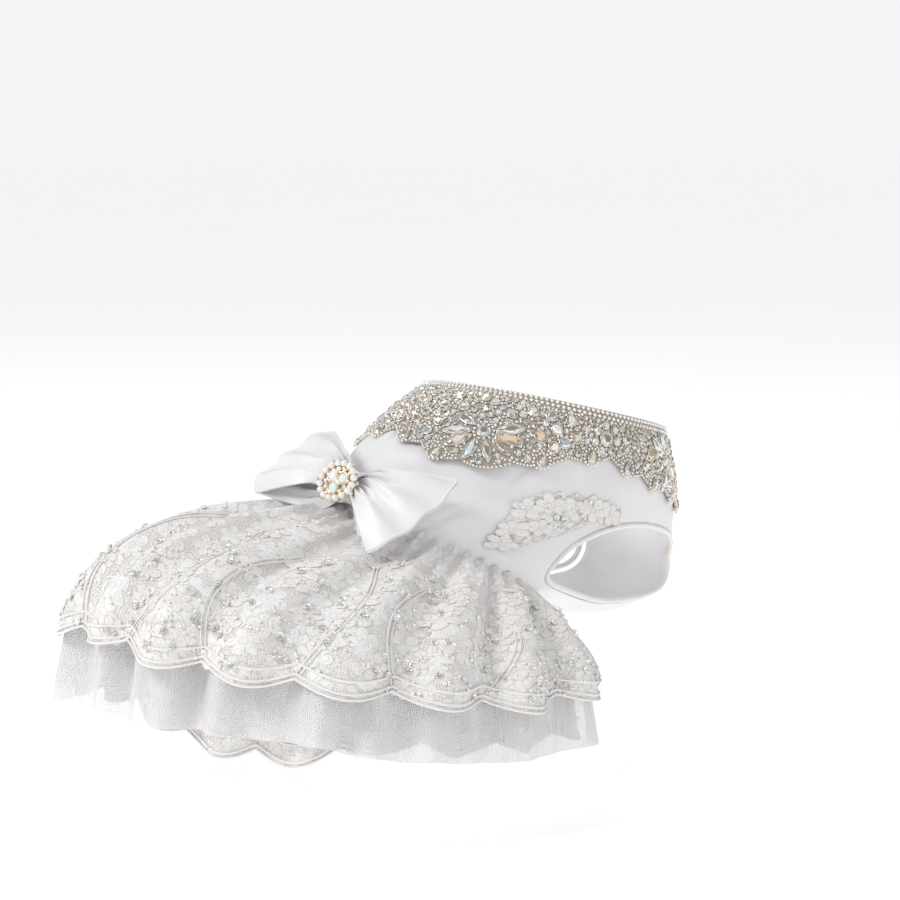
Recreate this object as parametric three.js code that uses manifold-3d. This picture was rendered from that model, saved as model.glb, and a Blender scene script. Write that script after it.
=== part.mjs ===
// A dress for a small dog, in the shape it has when worn sitting: a satin bodice with two leg holes, a
// collar set with cut stones, a lace skirt with a scalloped hem over a layer of tulle and a petticoat, and
// a satin bow with a brooch at the waist. Lengths are in millimetres. +X is the way the wearer faces, +Y
// its left and +Z up. The origin is the centre of the neck opening. Angles round the body are in degrees
// from the spine line, towards the wearer's right side; 180 is the breastbone.
import * as THREE from "three";
import { ConvexGeometry } from "three/addons/geometries/ConvexGeometry.js";
import { mergeVertices } from "three/addons/utils/BufferGeometryUtils.js";
import Module from "manifold-3d";

const wasm = await Module();
wasm.setup();

// Bodice
const NECK_SPAN = 117; // neck opening, back to front
const NECK_WIDTH = 108;
const CHEST_SPAN = 185; // longest slanting section, spine to breastbone
const CHEST_WIDTH = 124;
const WAIST_SPAN = 122;
const WAIST_WIDTH = 114;
const BODICE_RUN = 79; // neck centre to waist centre, rearwards
const BODICE_FALL = 62.5; // neck centre to waist centre, downwards
const BODICE_WALL = 1.6;
const PIECE_GAP = 0.3; // between pieces sewn or set on one another

// Leg holes, measured as seen from the side
const LEG_HOLE_LENGTH = 112;
const LEG_HOLE_HEIGHT = 41;
const LEG_HOLE_FALL = 70; // neck centre to hole centre, downwards
const BINDING_RADIUS = 1.4;

// Collar
const COLLAR_WALL = 1.2;
const COLLAR_DEPTH = 50; // down the cloth on the spine line
const COLLAR_SCALLOP = 3.5; // depth of a scallop
const COLLAR_SCALLOPS = 22; // count round the neck
const SHEET_GAP = 0.6; // between two curved sheets
const STONE_HEIGHT = 2.1;
const STONE_SINK = 0.7; // how deep a stone sits in its setting
const TABLE_SHARE = 0.6; // of a stone's flat top in its outline
const ROUND_STONE = 4.6; // diameter
const PETAL_LENGTH = 12;
const PETAL_WIDTH = 4.8;
const MOTIF_WALL = 0.9; // net under a stone motif
const APPLIQUE_WALL = 0.9; // lace on the bodice's sides
const FLOWER_CENTRE = 6.2; // diameter
const ROSETTE_CENTRE = 7;
const ROSETTE_STONE = 4.2;
const FAN_CENTRE = 5;

// Skirt layers
const SKIRT_TURN = 118; // angle of each front edge
const SEAM_DROP = 3; // from the bodice's lower edge to the gathers
const SEAM_RISE = 1.5; // of the outermost layer above the bodice's face
const HEM_RUN = 118; // neck centre to hem centre, rearwards
const HEM_FALL = 110; // neck centre to the hem's front corners, downwards
const HEM_SPAN = 272;
const HEM_WIDTH = 216;
const SKIRT_PUFF = 20; // how far the gathers stand off at the waist
const SKIRT_HANG = 0.33; // share of a gore that hangs nearly straight at the hem
const SKIRT_SCALLOP = 6; // depth of a scallop
const SKIRT_SCALLOPS = 13; // count along the hem
const FOLD_DEPTH = 9; // crest to valley at the hem
const LACE_WALL = 1.2;
const TULLE_WALL = 1;
const LAYER_SPREAD = 4.4; // extra room between two layers at the hem
const LAYER_STEP = 3; // degrees that each layer's front edge stands behind the one above
const TULLE_DROP = 27; // how far the tulle hangs below the lace
const TULLE_PLEATS = 15;
const TULLE_PLEAT = 1.6;
const PETTICOAT_DROP = 24; // and how far the petticoat does
const PETTICOAT_SCALLOPS = 15;

// Bow and brooch
const BOW_FALL = 86; // down the cloth, neck edge to knot
const BOW_TURN = 15; // angle of the knot, as the dress is worn
const BOW_LIFT = 10.8; // bow's centre above the bodice
const BOW_LOOP = 44; // length of one loop
const BOW_WIDTH = 58; // of a loop at its wide end
const BOW_NECK = 11; // of a loop where it is gathered
const BOW_PUFF = 11; // height of a loop where it is widest open
const BOW_FOLD = 1.6; // height of the folds in a loop
const BOW_WALL = 1.3;
const BOW_TILT = -14; // degrees that the loops lean, because their lower half lies on the skirt
const BROOCH_TILT = 26; // degrees that the brooch leans back over the skirt
const BOW_PRESS = 17; // how far the loops press the gathers down
const PRESS_TURN = 36; // angle of the deepest press, under the right loop
const PRESS_WIDTH = 36; // in degrees
const KNOT_LENGTH = 12; // across the bow
const KNOT_WIDTH = 14;
const KNOT_HEIGHT = 19; // out of the cloth
const BROOCH_RADIUS = 8.6;
const BROOCH_PLATE = 1.8;
const BROOCH_PEARLS = 10;
const PEARL_RADIUS = 1.9;
const OPAL_DIAMETER = 5;
const OPAL_RISE = 0.8; // height as a share of the radius
const OPAL_RING = 3.1; // radius of the circle that the opals stand on
const OPALS = 3;

// Sections of the bodice from neck to waist. run and fall place the centre, as shares of BODICE_RUN and
// BODICE_FALL. neck, chest and waist are the shares that each named span and width has in this section.
// lean is in degrees.
const BODICE_SECTIONS = [
  { at: 0.0, run: 0.0, fall: 0.0, neck: 1, chest: 0, waist: 0, lean: 14 },
  { at: 0.2, run: 0.05, fall: 0.26, neck: 0.58, chest: 0.42, waist: 0, lean: 19 },
  { at: 0.4, run: 0.133, fall: 0.56, neck: 0.22, chest: 0.78, waist: 0, lean: 24 },
  { at: 0.6, run: 0.27, fall: 0.856, neck: 0, chest: 1, waist: 0, lean: 28 },
  { at: 0.8, run: 0.65, fall: 0.99, neck: 0, chest: 0.58, waist: 0.42, lean: 31 },
  { at: 1.0, run: 1.0, fall: 1.0, neck: 0, chest: 0, waist: 1, lean: 30 },
];

// Outline of a leg hole, seen from the side, as shares of its length and height from its centre.
const LEG_HOLE_OUTLINE = [
  { along: -0.5, up: 0.06 },
  { along: -0.43, up: 0.28 },
  { along: -0.33, up: 0.41 },
  { along: -0.2, up: 0.49 },
  { along: -0.02, up: 0.5 },
  { along: 0.19, up: 0.38 },
  { along: 0.37, up: 0.18 },
  { along: 0.48, up: -0.06 },
  { along: 0.5, up: -0.22 },
  { along: 0.46, up: -0.42 },
  { along: 0.36, up: -0.5 },
  { along: 0.15, up: -0.5 },
  { along: -0.1, up: -0.4 },
  { along: -0.35, up: -0.16 },
];

// Depth of the collar round the neck, as a share of COLLAR_DEPTH.
const COLLAR_DEPTHS = [
  { at: 0, depth: 0.88 },
  { at: 28, depth: 1.02 },
  { at: 45, depth: 0.9 },
  { at: 60, depth: 0.68 },
  { at: 78, depth: 0.5 },
  { at: 99, depth: 0.6 },
  { at: 125, depth: 0.74 },
  { at: 155, depth: 0.92 },
  { at: 180, depth: 1.04 },
];

// Stone motifs on each side of the collar: place round the neck, and down the cloth as a share of
// COLLAR_DEPTH.
const MOTIFS = {
  flower: { turn: 34, down: 0.58, reach: 21, fall: 18 },
  rosette: { turn: 78, down: 0.27, reach: 12, fall: 11 },
  fan: { turn: 116, down: 0.36, reach: 16, fall: 14 },
};

// Directions of the long stones in degrees, anticlockwise as seen from outside, with 0 towards the
// breastbone.
const FLOWER_PETALS = [30, 2, -26, -57, -91, -128, -157, 162];
const FAN_PETALS = [140, 100, -30, -68, -106];
const ROSETTE_STONES = 7;

// Rows of round stones. inset is counted in stones from the collar's top edge, or from its bottom edge if
// below 0, and shift in steps round the neck.
const STONE_ROWS = [
  { inset: 1.2, shift: 0 },
  { inset: -0.9, shift: 0.5 },
];

// Each loop of the bow: its length and width as shares of BOW_LOOP and BOW_WIDTH, and how far its end lies
// towards the neck and below the knot, as shares of BOW_LOOP.
const BOW_LOOPS = {
  right: { length: 0.82, width: 1, climb: -0.08, droop: 0.04 },
  left: { length: 1, width: 0.9, climb: 0.24, droop: 0.08 },
};

// Stretch of the side applique at each angle, as shares of the way from neck to waist.
const APPLIQUE_EDGES = [
  { at: 59, top: 0.6, bottom: 0.68 },
  { at: 64, top: 0.54, bottom: 0.82 },
  { at: 70, top: 0.5, bottom: 0.88 },
  { at: 75, top: 0.48, bottom: 0.8 },
  { at: 80, top: 0.46, bottom: 0.6 },
  { at: 86, top: 0.46, bottom: 0.54 },
  { at: 92, top: 0.47, bottom: 0.51 },
];

// Lace hem at each angle: its fall from neck centre as a share of HEM_FALL, how steeply it hangs from 0 to
// 1, and the shares that SKIRT_PUFF and the drop of the lower layers have there.
const HEM_STATIONS = [
  { at: 0, fall: 0.66, hang: 0.85, puff: 1, drop: 1.15 },
  { at: 30, fall: 0.74, hang: 0.8, puff: 1, drop: 1.1 },
  { at: 60, fall: 0.84, hang: 0.7, puff: 0.85, drop: 0.95 },
  { at: 90, fall: 0.96, hang: 0.75, puff: 0.4, drop: 0.85 },
  { at: 120, fall: 1, hang: 0.8, puff: 0.05, drop: 0.85 },
];

// Folds of the skirt: angle of the crest, its width in degrees, and its height as a share of FOLD_DEPTH.
const SKIRT_FOLDS = [
  { at: -108, width: 7, height: 0.7 },
  { at: -91, width: 6, height: 0.9 },
  { at: -72, width: 8, height: 1.0 },
  { at: -54, width: 6, height: 0.7 },
  { at: -37, width: 7, height: 0.9 },
  { at: -18, width: 7, height: 0.8 },
  { at: 0, width: 6, height: 0.6 },
  { at: 17, width: 7, height: 0.9 },
  { at: 34, width: 6, height: 0.7 },
  { at: 52, width: 8, height: 1.0 },
  { at: 72, width: 7, height: 0.8 },
  { at: 90, width: 6, height: 1.0 },
  { at: 107, width: 7, height: 0.8 },
];

const COLOURS = {
  satin: { color: 0xf3f0ef, roughness: 0.45, metalness: 0 },
  lace: { color: 0xf1e9e2, roughness: 0.7, metalness: 0 },
  tulle: { color: 0xefeae8, roughness: 0.8, metalness: 0 },
  net: { color: 0xd9cfc2, roughness: 0.6, metalness: 0.2 },
  crystal: { color: 0xe6e2dc, roughness: 0.1, metalness: 0.1 },
  opal: { color: 0xe9f0ee, roughness: 0.15, metalness: 0 },
  gold: { color: 0xe3c9a0, roughness: 0.3, metalness: 0.8 },
};

const dress = new THREE.Group();
dress.name = "dog_dress";

const { cos, sin, abs, PI } = Math;
const radians = THREE.MathUtils.degToRad;
const DOWN = new THREE.Vector3(0, 0, -1);

function addPiece(name, geometry, colour) {
  const material = new THREE.MeshStandardMaterial(COLOURS[colour]);
  const mesh = new THREE.Mesh(geometry, material);
  mesh.name = name;
  dress.add(mesh);
}

// Value of a column of a table between its rows, on a smooth curve through them.
function fromTable(rows, column, at) {
  const last = rows.length - 1;
  const slope = (i) => {
    const low = rows[Math.max(i - 1, 0)];
    const high = rows[Math.min(i + 1, last)];
    return (high[column] - low[column]) / (high.at - low.at);
  };
  let i = 0;
  while (i < last - 1 && at > rows[i + 1].at) i += 1;
  const width = rows[i + 1].at - rows[i].at;
  const t = (at - rows[i].at) / width;
  const rise = t * t * (3 - 2 * t);
  return (
    rows[i][column] * (1 - rise) +
    rows[i + 1][column] * rise +
    slope(i) * width * t * (1 - t) ** 2 -
    slope(i + 1) * width * t * t * (1 - t)
  );
}

// Closed body between an outer and an inner sheet of points, each a list of columns. wrap joins the last
// column to the first.
function wall(outer, inner, wrap) {
  const position = [];
  const columns = outer.length;
  const rows = outer[0].length;
  const quad = (a, b, c, d) => {
    for (const p of [a, b, c, a, c, d]) position.push(p.x, p.y, p.z);
  };
  const joins = wrap ? columns : columns - 1;
  for (let i = 0; i < joins; i += 1) {
    const k = (i + 1) % columns;
    for (let j = 0; j < rows - 1; j += 1) {
      quad(outer[i][j], outer[i][j + 1], outer[k][j + 1], outer[k][j]);
      quad(inner[k][j], inner[k][j + 1], inner[i][j + 1], inner[i][j]);
    }
    quad(outer[k][0], inner[k][0], inner[i][0], outer[i][0]);
    const j = rows - 1;
    quad(outer[i][j], inner[i][j], inner[k][j], outer[k][j]);
  }
  if (!wrap) {
    const k = columns - 1;
    for (let j = 0; j < rows - 1; j += 1) {
      quad(outer[0][j + 1], outer[0][j], inner[0][j], inner[0][j + 1]);
      quad(outer[k][j], outer[k][j + 1], inner[k][j + 1], inner[k][j]);
    }
  }
  const made = new THREE.BufferGeometry();
  made.setAttribute("position", new THREE.Float32BufferAttribute(position, 3));
  return made;
}

function toSolid(geometry) {
  const bare = geometry.clone();
  bare.deleteAttribute("normal");
  bare.deleteAttribute("uv");
  const merged = mergeVertices(bare, 1e-3);
  return new wasm.Manifold(
    new wasm.Mesh({
      numProp: 3,
      vertProperties: merged.attributes.position.array,
      triVerts: new Uint32Array(merged.index.array),
    }),
  );
}

function toGeometry(solid) {
  const mesh = solid.getMesh();
  const made = new THREE.BufferGeometry();
  made.setAttribute("position", new THREE.BufferAttribute(mesh.vertProperties, 3));
  made.setIndex(new THREE.BufferAttribute(mesh.triVerts, 1));
  return made;
}

// The bodice's outer face

// Centre, half sizes and spine-to-breastbone direction of the section at a share of the way from neck to
// waist.
function bodiceSection(at) {
  const value = (column) => fromTable(BODICE_SECTIONS, column, at);
  const sized = (neck, chest, waist) =>
    value("neck") * neck + value("chest") * chest + value("waist") * waist;
  const lean = radians(value("lean"));
  return {
    centre: new THREE.Vector3(-value("run") * BODICE_RUN, 0, -value("fall") * BODICE_FALL),
    spineward: new THREE.Vector3(-cos(lean), 0, sin(lean)),
    halfSpan: sized(NECK_SPAN, CHEST_SPAN, WAIST_SPAN) / 2,
    halfWidth: sized(NECK_WIDTH, CHEST_WIDTH, WAIST_WIDTH) / 2,
  };
}

function bodicePoint(at, turn) {
  const section = bodiceSection(at);
  const point = section.centre.clone();
  point.addScaledVector(section.spineward, section.halfSpan * cos(radians(turn)));
  point.y -= section.halfWidth * sin(radians(turn));
  return point;
}

// Axes at a point of a sheet: down the cloth, round the body, and out of the cloth.
function sheetAxes(sheet, at, turn) {
  const down = sheet(at + 0.01, turn).sub(sheet(at - 0.01, turn)).normalize();
  const round = sheet(at, turn + 1).sub(sheet(at, turn - 1)).normalize();
  const out = down.clone().cross(round).normalize();
  return { down, round, out };
}

function lifted(sheet, at, turn, lift) {
  return sheet(at, turn).addScaledVector(sheetAxes(sheet, at, turn).out, lift);
}

const bodiceLift = (at, turn, lift) => lifted(bodicePoint, at, turn, lift);

// Share of the way from neck to waist that lies a given length down the cloth.
function bodiceShareAt(depth, turn) {
  const step = 0.01;
  let at = 0;
  let gone = 0;
  let here = bodicePoint(0, turn);
  while (gone < depth && at < 1) {
    const next = bodicePoint(at + step, turn);
    gone += next.distanceTo(here);
    here = next;
    at += step;
  }
  return at;
}

// Points of a sheet, a column at each angle, with rows from the top edge to the bottom edge.
function columnsOf(turns, rows, pointAt) {
  return turns.map((turn) =>
    Array.from({ length: rows + 1 }, (_, j) => pointAt(turn, j / rows)),
  );
}

function turnsBetween(from, to, count) {
  return Array.from({ length: count + 1 }, (_, i) => from + ((to - from) * i) / count);
}

const wholeTurn = (count) => turnsBetween(0, 360, count).slice(0, -1);

function mirrored(geometry) {
  const made = geometry.clone();
  made.scale(1, -1, 1);
  const order = made.index.array;
  for (let i = 0; i < order.length; i += 3) [order[i], order[i + 1]] = [order[i + 1], order[i]];
  return made;
}

function addPair(name, solid, colour) {
  const right = toGeometry(solid);
  addPiece(`${name}_right`, right, colour);
  addPiece(`${name}_left`, mirrored(right), colour);
}

// Bodice and leg holes

const NECK_STEPS = 2 * COLLAR_SCALLOPS;
const HOLE_STEPS = 32;

// Closed side outline of a leg hole, grown by a margin all round.
function legHoleOutline(margin) {
  const corners = LEG_HOLE_OUTLINE.map(
    ({ along, up }) =>
      new THREE.Vector3(along * LEG_HOLE_LENGTH, 0, up * LEG_HOLE_HEIGHT - LEG_HOLE_FALL),
  );
  const curve = new THREE.CatmullRomCurve3(corners, true, "centripetal");
  return Array.from({ length: HOLE_STEPS }, (_, i) => {
    const point = curve.getPointAt(i / HOLE_STEPS);
    const ahead = curve.getTangentAt(i / HOLE_STEPS);
    return new THREE.Vector2(point.x - ahead.z * margin, point.z + ahead.x * margin);
  });
}

// Point of the bodice's right side at a place given as seen from the side.
function bodiceSidePoint(x, z, lift) {
  let low = 0;
  let high = 1;
  for (let i = 0; i < 30; i += 1) {
    const middle = (low + high) / 2;
    const { centre, spineward } = bodiceSection(middle);
    const offset = (x - centre.x) * spineward.z - (z - centre.z) * spineward.x;
    if (offset < 0) low = middle;
    else high = middle;
  }
  const { centre, spineward, halfSpan } = bodiceSection(low);
  const along = (x - centre.x) * spineward.x + (z - centre.z) * spineward.z;
  const turn = THREE.MathUtils.radToDeg(Math.acos(THREE.MathUtils.clamp(along / halfSpan, -1, 1)));
  return bodiceLift(low, turn, lift);
}

// Straight cutter through both leg holes.
function legHoleCutter() {
  const outline = legHoleOutline(2 * BINDING_RADIUS + PIECE_GAP);
  const shape = new THREE.Shape(outline);
  const depth = 2 * CHEST_WIDTH;
  const prism = new THREE.ExtrudeGeometry(shape, { depth, bevelEnabled: false, steps: 1 });
  prism.rotateX(PI / 2);
  prism.translate(0, depth / 2, 0);
  return toSolid(prism);
}

function makeBodice() {
  const turns = wholeTurn(NECK_STEPS);
  const rows = 6;
  const outer = columnsOf(turns, rows, (turn, share) => bodicePoint(share, turn));
  const inner = columnsOf(turns, rows, (turn, share) => bodiceLift(share, turn, -BODICE_WALL));
  const shell = toSolid(wall(outer, inner, true));
  addPiece("bodice", toGeometry(shell.subtract(legHoleCutter())), "satin");
}

function makeLegBindings() {
  const outline = legHoleOutline(BINDING_RADIUS);
  const points = outline.map((p) => bodiceSidePoint(p.x, p.y, -BODICE_WALL / 2));
  const curve = new THREE.CatmullRomCurve3(points, true);
  const tube = new THREE.TubeGeometry(curve, HOLE_STEPS, BINDING_RADIUS, 5, true);
  addPair("leg_binding", toSolid(tube), "satin");
}

// Stones

// Cut stone with a flat table, standing on the bodice. length lies in the given direction, in degrees
// anticlockwise from the way round the body. A pointed stone has the outline of a leaf.
function stone(place, lift, { length, width = length, direction = 0, pointed = false }) {
  const { down, round, out } = sheetAxes(bodicePoint, place.at, place.turn);
  const facing = radians(direction);
  const along = round.clone().multiplyScalar(cos(facing)).addScaledVector(down, -sin(facing));
  const across = out.clone().cross(along);
  const foot = bodiceLift(place.at, place.turn, lift - STONE_SINK);
  const sides = 8;
  const corners = [];
  const addRing = (size, height) => {
    for (let i = 0; i < sides; i += 1) {
      const angle = (i * 2 * PI) / sides;
      const x = cos(angle);
      const y = pointed ? Math.sign(sin(angle)) * (1 - x * x) : sin(angle);
      const corner = foot.clone().addScaledVector(out, height);
      corner.addScaledVector(along, (x * size * length) / 2);
      corners.push(corner.addScaledVector(across, (y * size * width) / 2));
    }
  };
  addRing(1, 0);
  addRing(TABLE_SHARE, STONE_HEIGHT + STONE_SINK);
  return toSolid(new ConvexGeometry(corners));
}

// Place on the bodice, given by its angle and its distance down the cloth from the neck.
const placeAt = (turn, depth) => ({ turn, depth, at: bodiceShareAt(depth, turn) });

// Place some way round and down the cloth from another.
function stepFrom({ turn, depth, at }, round, down) {
  const perDegree = bodicePoint(at, turn + 1).distanceTo(bodicePoint(at, turn));
  return placeAt(turn + round / perDegree, depth + down);
}

// Collar

const foldedTurn = (turn) => abs(turn > 180 ? turn - 360 : turn);

function collarDepth(turn) {
  const wave = abs(sin((turn * COLLAR_SCALLOPS * PI) / 360));
  const depth = fromTable(COLLAR_DEPTHS, "depth", foldedTurn(turn)) * COLLAR_DEPTH;
  return depth + COLLAR_SCALLOP * (wave - 1);
}

function collarSheet(lift) {
  return columnsOf(wholeTurn(NECK_STEPS), 3, (turn, share) =>
    bodiceLift(bodiceShareAt(collarDepth(turn), turn) * share, turn, lift),
  );
}

const motifCentre = ({ turn, down }) => placeAt(turn, down * COLLAR_DEPTH);

function nearMotif(turn, depth) {
  return Object.values(MOTIFS).some((motif) => {
    const centre = motifCentre(motif);
    const edge = stepFrom(centre, motif.reach + 0.7 * ROUND_STONE, 0);
    const sideways = (foldedTurn(turn) - centre.turn) / (edge.turn - centre.turn);
    const downwards = (depth - centre.depth) / (motif.fall + 0.7 * ROUND_STONE);
    return sideways ** 2 + downwards ** 2 < 1;
  });
}

function makeCollar() {
  const top = SHEET_GAP + COLLAR_WALL;
  let collar = toSolid(wall(collarSheet(top), collarSheet(SHEET_GAP), true));
  for (const { inset, shift } of STONE_ROWS) {
    for (let i = 0; i < COLLAR_SCALLOPS; i += 1) {
      const turn = ((i + shift) * 360) / COLLAR_SCALLOPS;
      const depth = inset > 0 ? inset * ROUND_STONE : collarDepth(turn) + inset * ROUND_STONE;
      if (nearMotif(turn, depth)) continue;
      collar = collar.add(stone(placeAt(turn, depth), top, { length: ROUND_STONE }));
    }
  }
  addPiece("collar", toGeometry(collar), "net");
}

// Net patch of a motif, with its stones fused on it. Each spot has the stone's distance and bearing from
// the centre.
function addMotif(name, motif, spots) {
  const foot = 2 * SHEET_GAP + COLLAR_WALL;
  const top = foot + MOTIF_WALL;
  const centre = motifCentre(motif);
  const patch = (lift) =>
    columnsOf(turnsBetween(-90, 90, 6), 2, (slant, share) => {
      const half = motif.fall * Math.max(cos(radians(slant)), 0.25);
      const { at, turn } = stepFrom(centre, motif.reach * sin(radians(slant)), half * (2 * share - 1));
      return bodiceLift(at, turn, lift);
    });
  let made = toSolid(wall(patch(top), patch(foot), false));
  for (const { distance, bearing, ...size } of spots) {
    const angle = radians(bearing);
    const place = stepFrom(centre, distance * cos(angle), -distance * sin(angle));
    made = made.add(stone(place, top, { direction: bearing, ...size }));
  }
  addPair(name, made, "crystal");
}

function makeMotifs() {
  const petals = (bearings, centre) =>
    bearings.map((bearing) => ({
      distance: (centre + PETAL_LENGTH) / 2 + 1,
      bearing,
      length: PETAL_LENGTH,
      width: PETAL_WIDTH,
      pointed: true,
    }));
  const heart = (length) => ({ distance: 0, bearing: 0, length });
  const ring = Array.from({ length: ROSETTE_STONES }, (_, i) => ({
    distance: (ROSETTE_CENTRE + ROSETTE_STONE) / 2 + 0.4,
    bearing: (i * 360) / ROSETTE_STONES,
    length: ROSETTE_STONE,
  }));
  addMotif("flower", MOTIFS.flower, [heart(FLOWER_CENTRE), ...petals(FLOWER_PETALS, FLOWER_CENTRE)]);
  addMotif("rosette", MOTIFS.rosette, [heart(ROSETTE_CENTRE), ...ring]);
  addMotif("fan", MOTIFS.fan, [heart(FAN_CENTRE), ...petals(FAN_PETALS, FAN_CENTRE)]);
}

// Side applique

function makeAppliques() {
  const last = APPLIQUE_EDGES.length - 1;
  const turns = turnsBetween(APPLIQUE_EDGES[0].at, APPLIQUE_EDGES[last].at, 9);
  const patch = (lift) =>
    columnsOf(turns, 3, (turn, share) => {
      const top = fromTable(APPLIQUE_EDGES, "top", turn);
      const bottom = fromTable(APPLIQUE_EDGES, "bottom", turn);
      return bodiceLift(top + (bottom - top) * share, turn, lift);
    });
  addPair("applique", toSolid(wall(patch(SHEET_GAP + APPLIQUE_WALL), patch(SHEET_GAP), false)), "lace");
}

// Skirt

const hemStation = (column, turn) => fromTable(HEM_STATIONS, column, abs(turn));

function hemPoint(turn) {
  const x = -HEM_RUN - (HEM_SPAN / 2) * cos(radians(turn));
  const y = (-HEM_WIDTH / 2) * sin(radians(turn));
  return new THREE.Vector3(x, y, -hemStation("fall", turn) * HEM_FALL);
}

function seamPoint(turn) {
  return bodicePoint(1, turn).addScaledVector(sheetAxes(bodicePoint, 1, turn).down, SEAM_DROP);
}

const skirtLength = (turn) => hemPoint(turn).distanceTo(seamPoint(turn));

// Middle face of the skirt without its folds. share is 0 at the waist seam and 1 at the lace hem.
function skirtForm(share, turn) {
  const seam = seamPoint(turn);
  const hem = hemPoint(turn);
  const length = skirtLength(turn);
  const fall = hem.clone().sub(seam).normalize();
  const round = hemPoint(turn + 1).sub(hemPoint(turn - 1)).normalize();
  const out = fall.clone().cross(round).normalize();
  const hang = fall.clone().lerp(DOWN, hemStation("hang", turn)).normalize();
  if (share > 1) return hem.addScaledVector(hang, (share - 1) * length);
  const stand = seam.clone().addScaledVector(fall, length / 3);
  const press = BOW_PRESS * Math.exp(-(((turn - PRESS_TURN) / PRESS_WIDTH) ** 2));
  stand.addScaledVector(out, SKIRT_PUFF * hemStation("puff", turn) - press);
  const edge = hem.clone().addScaledVector(hang, -SKIRT_HANG * length);
  return new THREE.CubicBezierCurve3(seam, stand, edge, hem).getPoint(share);
}

function foldHeight(turn) {
  const heights = SKIRT_FOLDS.map(
    ({ at, width, height }) => height * Math.exp(-(((turn - at) / width) ** 2)),
  );
  return FOLD_DEPTH * (Math.max(...heights) - 0.5);
}

const hemWave = (turn, count) => abs(sin(((turn + SKIRT_TURN) * count * PI) / (2 * SKIRT_TURN)));

// Layer of the skirt. level counts the layers inwards from 0; they spread apart towards the hem. reach is
// how far the layer hangs below the lace hem, and pleat the height of its pleats, both at an angle.
function addSkirtLayer(name, colour, shape) {
  const { columns, rows, level, thick, reach, pleat = () => 0 } = shape;
  const edge = SKIRT_TURN - level * LAYER_STEP;
  const sheet = (depth) =>
    columnsOf(turnsBetween(-edge, edge, columns), rows, (turn, part) => {
      const share = part * (1 + reach(turn) / skirtLength(turn));
      const fold = foldHeight(turn) * Math.min(share, 1) ** 1.3 + pleat(turn) * share;
      const sink = depth + level * LAYER_SPREAD * Math.min(share, 1);
      return lifted(skirtForm, share, turn, SEAM_RISE + fold - sink);
    });
  const start = level * (LACE_WALL + PIECE_GAP);
  addPiece(name, toGeometry(toSolid(wall(sheet(start), sheet(start + thick), false))), colour);
}

function makeSkirt() {
  addSkirtLayer("lace_skirt", "lace", {
    columns: 4 * SKIRT_SCALLOPS,
    rows: 5,
    level: 0,
    thick: LACE_WALL,
    reach: (turn) => SKIRT_SCALLOP * (hemWave(turn, SKIRT_SCALLOPS) - 0.5),
  });
  addSkirtLayer("tulle_skirt", "tulle", {
    columns: 4 * TULLE_PLEATS,
    rows: 4,
    level: 1,
    thick: TULLE_WALL,
    reach: (turn) => TULLE_DROP * hemStation("drop", turn),
    pleat: (turn) => TULLE_PLEAT * cos((turn * TULLE_PLEATS * PI) / SKIRT_TURN),
  });
  addSkirtLayer("petticoat", "lace", {
    columns: 3 * PETTICOAT_SCALLOPS,
    rows: 4,
    level: 2,
    thick: TULLE_WALL,
    reach: (turn) =>
      PETTICOAT_DROP * hemStation("drop", turn) +
      SKIRT_SCALLOP * (hemWave(turn, PETTICOAT_SCALLOPS) - 1),
  });
}

// Bow and brooch

// Frame of the bow: its centre, with x to the wearer's right, y towards the neck and z out of the back,
// tilted about x.
function bowFrame(tilt) {
  const at = bodiceShareAt(BOW_FALL, BOW_TURN);
  const { down, round, out } = sheetAxes(bodicePoint, at, BOW_TURN);
  const centre = bodiceLift(at, BOW_TURN, BOW_LIFT);
  const frame = new THREE.Matrix4().makeBasis(round, down.negate(), out).setPosition(centre);
  return frame.multiply(new THREE.Matrix4().makeRotationX(radians(tilt)));
}

function addOnBow(name, geometry, colour, tilt = BROOCH_TILT) {
  addPiece(name, geometry.applyMatrix4(bowFrame(tilt)), colour);
}

// One loop of the bow: a band that goes out from the knot and comes back underneath, with folds that fan
// out.
function makeBowLoop(name, side, { length, width, climb, droop }) {
  const columns = 12;
  const rows = 6;
  const point = (way, across, lift) => {
    const reach = sin(PI * way);
    const face = cos(PI * way);
    const spread = BOW_NECK + (BOW_WIDTH * width - BOW_NECK) * reach ** 0.85;
    const out = (BOW_LOOP * length + lift) * reach * (1 - 0.05 * across * across);
    const swell = (BOW_PUFF / 2) * sin((PI * (reach + 0.25)) / 1.25) + BOW_WALL;
    const fold = BOW_FOLD * reach * cos(across * 3 * PI);
    return new THREE.Vector3(
      side * (KNOT_LENGTH / 2 + PIECE_GAP + out),
      (across * spread) / 2 + BOW_LOOP * climb * reach,
      face * (swell + lift) + fold - BOW_LOOP * droop * reach * reach,
    );
  };
  const ways = Array.from({ length: columns + 1 }, (_, i) => i / columns);
  if (side < 0) ways.reverse();
  const sheet = (lift) =>
    ways.map((way) =>
      Array.from({ length: rows + 1 }, (_, j) => point(way, 1 - (2 * j) / rows, lift)),
    );
  const loop = toSolid(wall(sheet(0), sheet(-BOW_WALL), false));
  addOnBow(name, toGeometry(loop), "satin", BOW_TILT);
}

function makeKnot() {
  const knot = new THREE.SphereGeometry(0.5, 14, 8);
  knot.scale(KNOT_LENGTH, KNOT_WIDTH, KNOT_HEIGHT);
  addOnBow("bow_knot", knot, "satin");
}

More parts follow.
